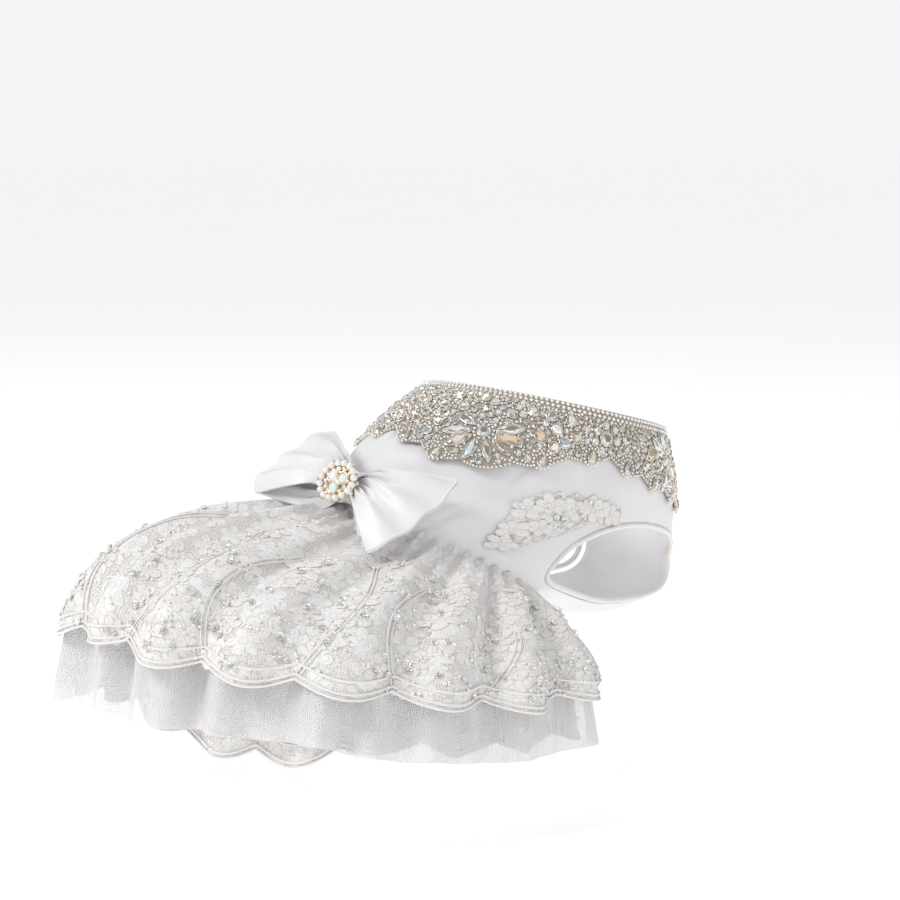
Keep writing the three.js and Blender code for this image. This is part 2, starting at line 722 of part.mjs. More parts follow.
function makeBrooch() {
  const foot = KNOT_HEIGHT / 2 + PIECE_GAP;
  const plate = new THREE.CylinderGeometry(BROOCH_RADIUS, BROOCH_RADIUS, BROOCH_PLATE, 22);
  plate.rotateX(PI / 2);
  plate.translate(0, 0, foot + BROOCH_PLATE / 2);
  let brooch = toSolid(plate);
  for (let i = 0; i < BROOCH_PEARLS; i += 1) {
    const angle = (i * 2 * PI) / BROOCH_PEARLS;
    const pearl = new THREE.SphereGeometry(PEARL_RADIUS, 10, 5);
    pearl.rotateX(PI / 2);
    const ring = BROOCH_RADIUS - PEARL_RADIUS * 0.4;
    pearl.translate(ring * cos(angle), ring * sin(angle), foot + BROOCH_PLATE);
    brooch = brooch.add(toSolid(pearl));
  }
  addOnBow("brooch", toGeometry(brooch), "gold");
  const radius = OPAL_DIAMETER / 2;
  const dome = Array.from({ length: 4 }, (_, i) => {
    const angle = (i * PI) / 6;
    return new THREE.Vector2(i === 3 ? 0 : radius * cos(angle), radius * OPAL_RISE * sin(angle));
  });
  for (let i = 0; i < OPALS; i += 1) {
    const angle = ((i + 0.25) * 2 * PI) / OPALS;
    const opal = new THREE.LatheGeometry([new THREE.Vector2(0, 0), ...dome], 12);
    opal.rotateX(PI / 2);
    opal.translate(OPAL_RING * cos(angle), OPAL_RING * sin(angle), foot + BROOCH_PLATE + PIECE_GAP);
    addOnBow(`opal_${i + 1}`, opal, "opal");
  }
}

makeBodice();
makeLegBindings();
makeCollar();
makeMotifs();
makeAppliques();
makeSkirt();
makeBowLoop("bow_loop_right", 1, BOW_LOOPS.right);
makeBowLoop("bow_loop_left", -1, BOW_LOOPS.left);
makeKnot();
makeBrooch();

export default dress;
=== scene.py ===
"""A small pet's satin dress with a stone-set collar, a lace skirt and a bow, dressed over its solids.

Lengths are in metres. +X is the way the wearer faces, +Y its left and +Z up, with the origin at the centre
of the neck opening. Angles round the body are in degrees from the spine line towards the wearer's right.
"""

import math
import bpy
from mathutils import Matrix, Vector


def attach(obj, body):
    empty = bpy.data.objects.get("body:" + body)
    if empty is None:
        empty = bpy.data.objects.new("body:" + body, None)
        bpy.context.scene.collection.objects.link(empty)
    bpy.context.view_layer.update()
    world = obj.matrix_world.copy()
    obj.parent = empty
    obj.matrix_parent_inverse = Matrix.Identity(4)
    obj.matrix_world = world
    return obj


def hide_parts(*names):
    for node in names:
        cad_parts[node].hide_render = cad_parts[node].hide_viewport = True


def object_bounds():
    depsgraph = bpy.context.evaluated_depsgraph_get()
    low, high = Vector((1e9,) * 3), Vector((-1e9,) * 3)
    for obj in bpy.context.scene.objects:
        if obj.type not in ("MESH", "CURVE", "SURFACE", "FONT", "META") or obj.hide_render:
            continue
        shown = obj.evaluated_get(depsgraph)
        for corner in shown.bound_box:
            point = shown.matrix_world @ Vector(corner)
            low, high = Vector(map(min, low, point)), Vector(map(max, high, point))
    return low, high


bl_info = {
    "name": "Pet dress",
    "version": (1, 0, 0),
    "blender": (4, 5, 0),
    "location": "View3D > Sidebar > Dress",
    "description": "Makes a small pet's satin, lace and tulle dress piece by piece",
    "category": "Object",
}

import bmesh
import bpy
import numpy as np
from bpy.props import FloatProperty, FloatVectorProperty, PointerProperty
from mathutils import Matrix, Vector

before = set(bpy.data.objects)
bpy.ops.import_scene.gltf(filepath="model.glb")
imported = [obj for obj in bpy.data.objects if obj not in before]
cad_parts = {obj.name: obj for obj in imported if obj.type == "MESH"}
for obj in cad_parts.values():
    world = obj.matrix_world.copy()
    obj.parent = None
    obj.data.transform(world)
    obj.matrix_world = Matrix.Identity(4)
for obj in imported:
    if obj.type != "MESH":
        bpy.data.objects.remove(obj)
CAD_BOX = [list(corner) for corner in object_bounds()]
BODY = "root"

# Bodice
NECK_SPAN = 0.117
NECK_WIDTH = 0.108
CHEST_SPAN = 0.185
CHEST_WIDTH = 0.124
WAIST_SPAN = 0.122
WAIST_WIDTH = 0.114
BODICE_RUN = 0.079
BODICE_FALL = 0.0625
BODICE_WALL = 0.0014
LEG_HOLE_LENGTH = 0.112
LEG_HOLE_HEIGHT = 0.041
LEG_HOLE_FALL = 0.070
BINDING_RADIUS = 0.0014
WAIST_TUCK = 0.035
SATIN_FOLD = 0.0019
SATIN_SEAM = 0.0009
SATIN_UNEVEN = 0.0016
BINDING_STEPS = 96

# Collar
COLLAR_DEPTH = 0.050
COLLAR_SCALLOP = 0.0035
COLLAR_SCALLOPS = 22
COLLAR_LIFT = 0.0014
NET_WALL = 0.0004
STONE_LIFT = 0.0016
BEAD_LIFT = 0.0018
PEARL_ROWS = (0.0013, 0.0035)
ROW_PEARLS = 150
ROW_PEARL = 0.00098
EDGE_BEADS = 330
EDGE_BEAD = 0.00066
FLOWER_CENTRE = 0.0062
PETAL_LENGTH = 0.012
PETAL_WIDTH = 0.0048
ROSETTE_CENTRE = 0.007
ROSETTE_STONE = 0.0042
FAN_CENTRE = 0.0025
STONE_SHARE = 0.9

# Skirt
SKIRT_TURN = 118
SEAM_DROP = 0.003
SEAM_RISE = 0.0015
HEM_RUN = 0.118
HEM_FALL = 0.110
HEM_SPAN = 0.272
HEM_WIDTH = 0.216
SKIRT_PUFF = 0.020
SKIRT_HANG = 0.33
SKIRT_SCALLOPS = 13
FINE_GATHER = 0.0014
WIDE_GATHER = 0.0028
LAYER_SPREAD = 0.0044
LAYER_STEP = 3
TULLE_PLEATS = 15
TULLE_PLEAT = 0.0016
TULLE_CRIMP = 0.0022
PETTICOAT_SCALLOPS = 15
TUCK_AT = 38
TUCK_WIDTH = 19
SKIRT_FLOWER_ROOM = 12.5
SEQUINS_AT_FLOWER = 2
SEEDS_AT_FLOWER = 9

# Lace flowers and the lace of the sides. SIDE_SCALES is metres in a degree and in the way from neck to waist.
CORD_POINTS = 14
LACE_PETALS = 5
SIDE_LACE_WALL = 0.0003
SIDE_LACE_LIFT = 0.0007
SIDE_SCALES = (0.00118, 0.11)
CORD_TIP = 0.05

# Bow and brooch
BOW_FALL = 0.086
BOW_TURN = 15
BOW_LIFT = 0.0108
BOW_NECK = 0.011
BOW_PUFF = 0.011
BOW_WALL = 0.0013
BOW_CLOTH = 0.0009
BOW_CREASE = 0.0039
BOW_PLEAT = 0.0018
BOW_TILT = -14
BROOCH_TILT = 26
BOW_PRESS = 0.017
PRESS_TURN = 36
PRESS_WIDTH = 36
KNOT = (0.012, 0.014, 0.019)
BROOCH_RADIUS = 0.0086
BROOCH_PLATE = 0.0018
OUTER_PEARL = 0.00165
INNER_PEARL = 0.00095
MIDDLE_PEARL = 0.001
OPAL_RADIUS = 0.0025
OPAL_RING = 0.0031

# Sections of the bodice from neck to waist, as in its solid. Run and fall are shares of BODICE_RUN and
# BODICE_FALL.
BODICE_SECTIONS = [
    {"at": 0.0, "run": 0.0, "fall": 0.0, "neck": 1, "chest": 0, "waist": 0, "lean": 14},
    {"at": 0.2, "run": 0.05, "fall": 0.26, "neck": 0.58, "chest": 0.42, "waist": 0, "lean": 19},
    {"at": 0.4, "run": 0.133, "fall": 0.56, "neck": 0.22, "chest": 0.78, "waist": 0, "lean": 24},
    {"at": 0.6, "run": 0.27, "fall": 0.856, "neck": 0, "chest": 1, "waist": 0, "lean": 28},
    {"at": 0.8, "run": 0.65, "fall": 0.99, "neck": 0, "chest": 0.58, "waist": 0.42, "lean": 31},
    {"at": 1.0, "run": 1.0, "fall": 1.0, "neck": 0, "chest": 0, "waist": 1, "lean": 30},
]

# Outline of a leg hole, seen from the side, as shares of its length and height.
LEG_HOLE_OUTLINE = [
    (-0.5, 0.06), (-0.43, 0.28), (-0.33, 0.41), (-0.2, 0.49), (-0.02, 0.5), (0.19, 0.38), (0.37, 0.18),
    (0.48, -0.06), (0.5, -0.22), (0.46, -0.42), (0.36, -0.5), (0.15, -0.5), (-0.1, -0.4), (-0.35, -0.16),
]

# Depth of the collar round the neck, as a share of COLLAR_DEPTH.
COLLAR_DEPTHS = [
    {"at": 0, "depth": 0.88}, {"at": 28, "depth": 1.02}, {"at": 45, "depth": 0.9},
    {"at": 60, "depth": 0.68}, {"at": 78, "depth": 0.5}, {"at": 99, "depth": 0.6},
    {"at": 125, "depth": 0.74}, {"at": 155, "depth": 0.92}, {"at": 180, "depth": 1.04},
]

# Stone motifs on each side of the collar: angle round the neck and share of COLLAR_DEPTH down the cloth.
FLOWER_AT = (34, 0.58)
ROSETTE_AT = (78, 0.27)
FAN_AT = (116, 0.36)
FLOWER_PETALS = [30, 2, -26, -57, -91, -128, -157, 162]
FAN_PETALS = [140, 100, -30, -68, -106]
ROSETTE_STONES = 7

# Corners of each kind of stone.
STONE_CORNERS = {"round": 8, "cushion": 8, "leaf": 10, "pear": 10, "bar": 8}

# Fill of the collar from large to small: kind, half size, gap, throws, seed and unevenness of size.
COLLAR_FILL = [
    ("cushion", 0.0025, 0.0009, 900, 11, 0.1),
    ("round", 0.0018, 0.0001, 5000, 12, 0.15),
    ("round", 0.0013, 0.0, 9000, 13, 0.1),
    ("bead", 0.0008, -0.0001, 20000, 14, 0.12),
    ("bead", 0.0006, -0.0001, 14000, 15, 0.12),
]

# Lace hem at each angle: fall as a share of HEM_FALL, how steeply it hangs, puff of the gathers, drop below.
HEM_STATIONS = [
    {"at": 0, "fall": 0.66, "hang": 0.85, "puff": 1, "drop": 1.15},
    {"at": 30, "fall": 0.74, "hang": 0.8, "puff": 1, "drop": 1.1},
    {"at": 60, "fall": 0.84, "hang": 0.7, "puff": 0.85, "drop": 0.95},
    {"at": 90, "fall": 0.96, "hang": 0.75, "puff": 0.4, "drop": 0.85},
    {"at": 120, "fall": 1, "hang": 0.8, "puff": 0.05, "drop": 0.85},
]

# Layers of the skirt, counted inwards: columns and rows of the grid, and wall of the cloth.
SKIRT_LAYERS = [{"grid": (440, 52), "wall": 0.0003}, {"grid": (420, 40), "wall": 0.0002},
                {"grid": (360, 36), "wall": 0.0003}]

# Folds of the skirt: angle of the crest, its width in degrees and its height as a share of the fold depth.
SKIRT_FOLDS = [
    (-108, 7, 0.7), (-91, 6, 0.9), (-72, 8, 1.0), (-54, 6, 0.7), (-37, 7, 0.9), (-18, 7, 0.8), (0, 6, 0.6),
    (17, 7, 0.9), (34, 6, 0.7), (52, 8, 1.0), (72, 7, 0.8), (90, 6, 1.0), (107, 7, 0.8),
]

# Loops of the bow, as shares of its loop length and width.
BOW_LOOPS = {
    "right": {"side": 1, "length": 0.82, "width": 1.0, "climb": -0.08, "droop": 0.04},
    "left": {"side": -1, "length": 1.0, "width": 0.9, "climb": 0.24, "droop": 0.08},
}

# Rings of a petal's filling: share of its outline and height.
PETAL_FILL = [(1.0, 0.0001), (0.6, 0.0004), (0.08, 0.0002)]

# Stretch of the side applique at each angle, as shares of the way from neck to waist.
APPLIQUE_EDGES = [
    {"at": 59, "top": 0.6, "bottom": 0.68}, {"at": 64, "top": 0.54, "bottom": 0.82},
    {"at": 70, "top": 0.5, "bottom": 0.88}, {"at": 75, "top": 0.48, "bottom": 0.8},
    {"at": 80, "top": 0.46, "bottom": 0.6}, {"at": 86, "top": 0.46, "bottom": 0.54},
    {"at": 92, "top": 0.47, "bottom": 0.51},
]

# Flowers and sequins of the side lace: angle round the body and share of the way from neck to waist.
SIDE_FLOWERS = [(62, 0.65), (66, 0.77), (67, 0.58), (71, 0.7), (70, 0.86), (74, 0.56), (80, 0.52), (87, 0.5)]
SIDE_SEQUINS = [(66, 0.6), (72, 0.6), (73, 0.62), (71, 0.63), (60, 0.66), (78, 0.5), (76, 0.56), (69, 0.8)]

# Camera: seen from the wearer's right rear, a little from above
CAMERA_AZIMUTH = -42
CAMERA_ELEVATION = 8
CAMERA_DISTANCE = 1.02
CAMERA_SHIFT = (-0.0456, -0.0211)
CAMERA_LENS = 85
FLOOR_DROP = 0.03
WORLD_LIGHT = 0.53
WORLD_TINT = (0.98, 0.985, 1.0, 1.0)
BACKDROP = (0.91, 0.91, 0.915, 1.0)

# Lamps, placed from the middle of the dress along the camera's back and right and the world's up.
LAMPS = [
    {"name": "key", "back": 0.7, "right": -1.1, "up": 1.1, "size": 0.55, "power": 12.5},
    {"name": "fill", "back": 1.1, "right": 1.1, "up": 0.4, "size": 1.0, "power": 1.5},
    {"name": "top", "back": -0.8, "right": 0, "up": 1.5, "size": 0.8, "power": 3.5},
]


# Surfaces

def set_size(name):
    """A size that the user can change, to the thousandth of a millimetre."""
    return round(getattr(bpy.context.scene.dress_sizes, name), 6)


def from_table(rows, column, at):
    """Value of a table's column on a smooth curve through its rows."""
    keys = np.array([row["at"] for row in rows], float)
    values = np.array([row[column] for row in rows], float)
    order = np.arange(len(rows))
    low, high = np.maximum(order - 1, 0), np.minimum(order + 1, len(rows) - 1)
    slopes = (values[high] - values[low]) / (keys[high] - keys[low])
    i = np.clip(np.searchsorted(keys, at) - 1, 0, len(rows) - 2)
    width = keys[i + 1] - keys[i]
    t = (at - keys[i]) / width
    rise = t * t * (3 - 2 * t)
    bend = slopes[i] * t * (1 - t) ** 2 - slopes[i + 1] * t * t * (1 - t)
    return values[i] * (1 - rise) + values[i + 1] * rise + width * bend


def unit(vectors):
    return vectors / np.linalg.norm(vectors, axis=-1, keepdims=True)


def sheet_axes(sheet, at, turn):
    """Directions down the cloth, round the body and out of the cloth."""
    down = unit(sheet(at + 0.01, turn) - sheet(at - 0.01, turn))
    around = unit(sheet(at, turn + 1) - sheet(at, turn - 1))
    return down, around, unit(np.cross(down, around))


def lifted(sheet, at, turn, lift):
    out = sheet_axes(sheet, at, turn)[2]
    return sheet(at, turn) + out * np.asarray(lift)[..., None]


def bodice_point(at, turn):
    at, turn = np.broadcast_arrays(np.asarray(at, float), np.asarray(turn, float))
    neck, chest, waist = (from_table(BODICE_SECTIONS, c, at) for c in ("neck", "chest", "waist"))
    lean = np.radians(from_table(BODICE_SECTIONS, "lean", at))
    run = from_table(BODICE_SECTIONS, "run", at) * BODICE_RUN
    fall = from_table(BODICE_SECTIONS, "fall", at) * BODICE_FALL
    along = (neck * NECK_SPAN + chest * CHEST_SPAN + waist * WAIST_SPAN) / 2 * np.cos(np.radians(turn))
    aside = (neck * NECK_WIDTH + chest * CHEST_WIDTH + waist * WAIST_WIDTH) / 2 * np.sin(np.radians(turn))
    return np.stack([-run - np.cos(lean) * along, -aside, -fall + np.sin(lean) * along], -1)


SHARES = np.linspace(0, 1, 101)
TURNS = np.arange(0, 361, 2)


def bodice_depths():
    """Length down the cloth from the neck, at each of TURNS and SHARES."""
    points = bodice_point(SHARES[None, :], TURNS[:, None])
    steps = np.linalg.norm(np.diff(points, axis=1), axis=-1)
    return np.concatenate([np.zeros((len(TURNS), 1)), np.cumsum(steps, 1)], 1)


DEPTHS = bodice_depths()


def share_at(depth, turn):
    """Share of the way from neck to waist that lies that deep down the cloth."""
    depth, turn = np.broadcast_arrays(np.asarray(depth, float), np.asarray(turn, float))
    place = (turn % 360) / 2
    low = place.astype(int)
    found = []
    for row, mix, wanted in zip(low.ravel(), (place - low).ravel(), depth.ravel()):
        depths = DEPTHS[row] * (1 - mix) + DEPTHS[row + 1] * mix
        found.append(np.interp(wanted, depths, SHARES))
    return np.array(found).reshape(depth.shape)


def cloth_spot(turn, depth):
    """Spot on the bodice, with its axes, for stones and lace set on it."""
    at = share_at(depth, turn)
    down, around, out = sheet_axes(bodice_point, at, turn)
    return bodice_point(at, turn), down, around, out


def degree_length(turn, depth):
    at = share_at(depth, turn)
    return np.linalg.norm(bodice_point(at, turn + 1) - bodice_point(at, turn), axis=-1)


def folded(turn):
    turn = np.asarray(turn, float) % 360
    return np.where(turn > 180, 360 - turn, turn)


def collar_depth(turn):
    wave = np.abs(np.sin(np.radians(np.asarray(turn, float) * COLLAR_SCALLOPS / 2)))
    return from_table(COLLAR_DEPTHS, "depth", folded(turn)) * COLLAR_DEPTH + COLLAR_SCALLOP * (wave - 1)


def hem_station(column, turn):
    return from_table(HEM_STATIONS, column, np.abs(turn))


def hem_point(turn):
    angle = np.radians(turn)
    x = -HEM_RUN - HEM_SPAN / 2 * np.cos(angle)
    y = -HEM_WIDTH / 2 * np.sin(angle)
    return np.stack([x, y, -hem_station("fall", turn) * HEM_FALL], -1)


def seam_point(turn):
    one = np.ones_like(turn)
    return bodice_point(one, turn) + sheet_axes(bodice_point, one, turn)[0] * SEAM_DROP


def skirt_length(turn):
    turn = np.asarray(turn, float)
    return np.linalg.norm(hem_point(turn) - seam_point(turn), axis=-1)


def skirt_form(share, turn):
    """Middle face of the skirt without its folds, as in its solid."""
    share, turn = np.broadcast_arrays(np.asarray(share, float), np.asarray(turn, float))
    seam, hem = seam_point(turn), hem_point(turn)
    length = np.linalg.norm(hem - seam, axis=-1)[..., None]
    fall = (hem - seam) / length
    around = unit(hem_point(turn + 1) - hem_point(turn - 1))
    out = unit(np.cross(fall, around))
    steep = hem_station("hang", turn)[..., None]
    hang = unit(fall * (1 - steep) + np.array([0, 0, -1.0]) * steep)
    press = BOW_PRESS * np.exp(-(((turn - PRESS_TURN) / PRESS_WIDTH) ** 2))
    puff = (SKIRT_PUFF * hem_station("puff", turn) - press)[..., None]
    stand = seam + fall * length / 3 + out * puff
    edge = hem - hang * SKIRT_HANG * length
    t = np.clip(share, None, 1)[..., None]
    curve = seam * (1 - t) ** 3 + 3 * stand * t * (1 - t) ** 2 + 3 * edge * t * t * (1 - t) + hem * t**3
    return curve + hang * length * np.maximum(share - 1, 0)[..., None]


def fold_height(turn):
    heights = [height * np.exp(-(((turn - at) / width) ** 2)) for at, width, height in SKIRT_FOLDS]
    return set_size("fold_depth") * (np.max(heights, axis=0) - 0.5)


def hem_wave(turn, count):
    return np.abs(np.sin(np.radians((turn + SKIRT_TURN) * count * 90 / SKIRT_TURN)))


def ripple(u, v, seed, waves=5, low=2.0, high=7.0):
    """Smooth seeded unevenness between about -1 and 1 over a sheet."""
    source = np.random.default_rng(seed)
    total = 0
    for _ in range(waves):
        a, b = source.uniform(-1, 1, 2) * source.uniform(low, high)
        total = total + np.sin(2 * math.pi * (a * u + b * v) + source.uniform(0, 6.28))
    return total / waves


def gathers(share, turn):
    """Small gathers that leave the waist seam and open out towards the hem."""
    fine = np.sin(np.radians(turn * 47 + 40 * np.sin(np.radians(turn * 5))))
    wide = np.sin(np.radians(turn * 21 + 30 * np.sin(np.radians(turn * 3 + 50))))
    narrow = FINE_GATHER * fine * np.exp(-2.5 * share)
    return narrow + WIDE_GATHER * wide * np.minimum(share * 3, 1) * (1.1 - 0.4 * share)


def skirt_layer(share, turn, level, lift=0.0):
    """Outer face of a layer of the skirt. level counts inwards from 0."""
    near = np.minimum(share, 1)
    fold = fold_height(turn) * near**1.3
    if level == 1:
        pleats = np.cos(np.radians(turn * TULLE_PLEATS * 180 / SKIRT_TURN))
        fine = np.sin(np.radians(turn * 37 + 25 * np.sin(np.radians(turn * 4))))
        fold = fold + TULLE_PLEAT * share * pleats + TULLE_CRIMP * share * fine
    else:
        fold = fold + gathers(share, turn) * (0.5 if level else 1)
    sink = level * (0.0015 + LAYER_SPREAD * near)
    return lifted(skirt_form, share, turn, SEAM_RISE + fold - sink + lift)


# Mesh tools

def new_object(name, verts, faces):
    mesh = bpy.data.meshes.new(name)
    mesh.from_pydata(np.asarray(verts, float).tolist(), [], [tuple(face) for face in faces])
    mesh.update()
    made = bpy.data.objects.new(name, mesh)
    bpy.context.scene.collection.objects.link(made)
    return made


def select_only(piece):
    bpy.ops.object.select_all(action="DESELECT")
    bpy.context.view_layer.objects.active = piece
    piece.select_set(True)


def apply_modifiers(piece):
    select_only(piece)
    for modifier in list(piece.modifiers):
        bpy.ops.object.modifier_apply(modifier=modifier.name)


def smooth(piece, angle=None):
    piece.data.polygons.foreach_set("use_smooth", [True] * len(piece.data.polygons))
    if angle is not None:
        select_only(piece)
        bpy.ops.object.shade_smooth_by_angle(angle=angle)


def fix_normals(piece):
    shape = bmesh.new()
    shape.from_mesh(piece.data)
    bmesh.ops.recalc_face_normals(shape, faces=shape.faces)
    shape.to_mesh(piece.data)
    shape.free()


def cloth(name, points, uv, wall, wrap=False):
    """Sheet of cloth through a grid of points, with a wall inwards.

    uv has one more column on a wrapped sheet.
    """
    columns, rows = points.shape[:2]
    index = np.arange(columns * rows).reshape(columns, rows)
    if wrap:
        index = np.concatenate([index, index[:1]])
    corners = [index[:-1, :-1], index[:-1, 1:], index[1:, 1:], index[1:, :-1]]
    made = new_object(name, points.reshape(-1, 3), np.stack(corners, -1).reshape(-1, 4))
    spread = [uv[:-1, :-1], uv[:-1, 1:], uv[1:, 1:], uv[1:, :-1]]
    layer = made.data.uv_layers.new(name="cloth")
    layer.data.foreach_set("uv", np.stack(spread, 2).reshape(-1).astype(np.float32))
    solidify = made.modifiers.new("wall", "SOLIDIFY")
    solidify.thickness = wall
    solidify.offset = -1
    apply_modifiers(made)
    smooth(made, math.radians(60))
    return made


def place_piece(piece, material, slot, *nodes):
    piece.data.materials.clear()
    piece.data.materials.append(material)
    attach(piece, BODY)
    if nodes:
        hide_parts(*nodes)
    return piece


def outline_shape(kind, count=12):
    """Outline of a cut stone within -1 and 1, anticlockwise."""
    angles = np.arange(count) * 2 * math.pi / count
    x, y = np.cos(angles), np.sin(angles)
    if kind == "leaf":
        y = np.sign(y) * (1 - x * x) ** 0.9
    if kind == "pear":
        y = y * (0.62 - 0.38 * x) * 1.12
    if kind == "bar":
        x = np.clip(x * 1.35, -1, 1)
        y = np.clip(y * 1.6, -1, 1)
    if kind == "cushion":
        x, y = (np.sign(v) * np.abs(v) ** 0.72 for v in (x, y))
    return np.stack([x, y], -1)


def ringed(rings, close_top=True):
    """Mesh of stacked rings of points, from the outermost to the innermost."""
    count = len(rings[0])
    verts = np.concatenate(rings)
    faces = []
    for level in range(len(rings) - 1):
        for i in range(count):
            j = (i + 1) % count
            a, b = level * count, (level + 1) * count
            faces.append((a + i, a + j, b + j, b + i))
    if close_top:
        faces.append(tuple(range((len(rings) - 1) * count, len(rings) * count)))
    return verts, faces


def ring_at(outline, size, height, turned=False):
    if turned:
        outline = (outline + np.roll(outline, -1, 0)) / 2
    return np.column_stack([outline * size, np.full(len(outline), height)])


def cut_stone(kind, count=12):
    """Stone with a girdle, a crown of two rows of facets and a table. Height is 1."""
    outline = outline_shape(kind, count)
    rings = [ring_at(outline, 0.96, 0.0), ring_at(outline, 1, 0.3)]
    rings += [ring_at(outline, 0.86, 0.7, True), ring_at(outline, 0.56, 1.0)]
    verts, faces = ringed(rings)
    split = []
    for face in faces:
        if len(face) == 4:
            split += [face[:3], (face[0], face[2], face[3])]
        else:
            split.append(face)
    return verts, split


def stone_cup(kind, count=12):
    """Metal cup round a stone, with its rolled rim."""
    outline = outline_shape(kind, count)
    sizes = [(1.1, -0.1), (1.22, 0.12), (1.2, 0.42), (1.06, 0.5), (0.97, 0.36)]
    return ringed([ring_at(outline, size, height) for size, height in sizes], close_top=False)


def round_bead(rows=1):
    """Round bead of radius 1 on its centre."""
    shape = bmesh.new()
    bmesh.ops.create_icosphere(shape, subdivisions=rows, radius=1)
    verts = np.array([v.co[:] for v in shape.verts])
    faces = [tuple(v.index for v in face.verts) for face in shape.faces]
    shape.free()
    return verts, faces


def sequin():
    """Clear cup sequin with a bead at its middle. Radius and height are 1."""
    outline = outline_shape("round", 12)
    rings = [(0.95, 0.0), (1.0, 0.5), (0.9, 0.9), (0.72, 0.55), (0.4, 0.2), (0.36, 0.7), (0.22, 1.1)]
    return ringed([ring_at(outline, size, height) for size, height in rings])


def copies(name, shape, spots, sizes, bearing=0.0, lift=0.0, tints=None, seed=1):
    """One joined mesh of copies of a shape. Each spot is a point with its axes; sizes are half lengths."""
    verts, faces = shape
    origin, down, around, out = (np.atleast_2d(part) for part in spots)
    total = len(origin)
    angle = np.radians(np.broadcast_to(np.asarray(bearing, float), total))[:, None]
    along = around * np.cos(angle) - down * np.sin(angle)
    across = np.cross(out, along)
    size = np.broadcast_to(np.atleast_2d(sizes), (total, 3))
    base = origin + out * np.broadcast_to(np.asarray(lift, float), total)[:, None]
    local = verts[None] * size[:, None, :]
    points = (
        base[:, None]
        + local[..., :1] * along[:, None]
        + local[..., 1:2] * across[:, None]
        + local[..., 2:3] * out[:, None]
    )
    all_faces = []
    for copy in range(total):
        step = copy * len(verts)
        all_faces += [tuple(i + step for i in face) for face in faces]
    made = new_object(name, points.reshape(-1, 3), all_faces)
    source = np.random.default_rng(seed)
    tint = np.ones((total, 4)) if tints is None else np.column_stack([tints, np.ones(total)])
    colours = made.data.color_attributes.new("tint", "FLOAT_COLOR", "POINT")
    colours.data.foreach_set("color", np.repeat(tint, len(verts), 0).reshape(-1).astype(np.float32))
    # Random value of each face, which the cut glass turns into painted highlights and painted shade on its
    # facets.
    painted_glint = made.data.attributes.new("painted_glint", "FLOAT", "FACE")
    painted_glint.data.foreach_set("value", source.random(len(all_faces)).astype(np.float32))
    return made


def tubes(name, paths, normals, radius, sides=5, closed=False):
    """Cords along several paths of equally many points each: an array of (paths, points, 3)."""
    paths = np.asarray(paths, float)
    normals = np.asarray(normals, float)
    count, steps = paths.shape[:2]
    if closed:
        ahead = np.roll(paths, -1, 1) - np.roll(paths, 1, 1)
    else:
        ahead = np.gradient(paths, axis=1)
    ahead = unit(ahead + 1e-12)
    aside = unit(np.cross(ahead, normals))
    up = np.cross(aside, ahead)
    angles = np.arange(sides) * 2 * math.pi / sides
    wide = np.asarray(radius, float)
    if not closed:
        taper = np.ones(steps)
        taper[[0, -1]] = CORD_TIP
        wide = wide * taper[None, :, None, None]
    ring = aside[:, :, None] * np.cos(angles)[:, None] + up[:, :, None] * np.sin(angles)[:, None]
    points = paths[:, :, None] + ring * wide
    index = np.arange(count * steps * sides).reshape(count, steps, sides)
    here, ahead_ring = (index, np.roll(index, -1, 1)) if closed else (index[:, :-1], index[:, 1:])
    turned = np.roll(here, -1, 2)
    turned_ahead = np.roll(ahead_ring, -1, 2)
    faces = np.stack([here, ahead_ring, turned_ahead, turned], -1).reshape(-1, 4)
    made = new_object(name, points.reshape(-1, 3), faces)
    smooth(made)
    return made


def join(name, pieces):
    bpy.ops.object.select_all(action="DESELECT")
    for piece in pieces:
        piece.select_set(True)
    bpy.context.view_layer.objects.active = pieces[0]
    bpy.ops.object.join()
    pieces[0].name = name
    pieces[0].data.name = name
    return pieces[0]


# Materials

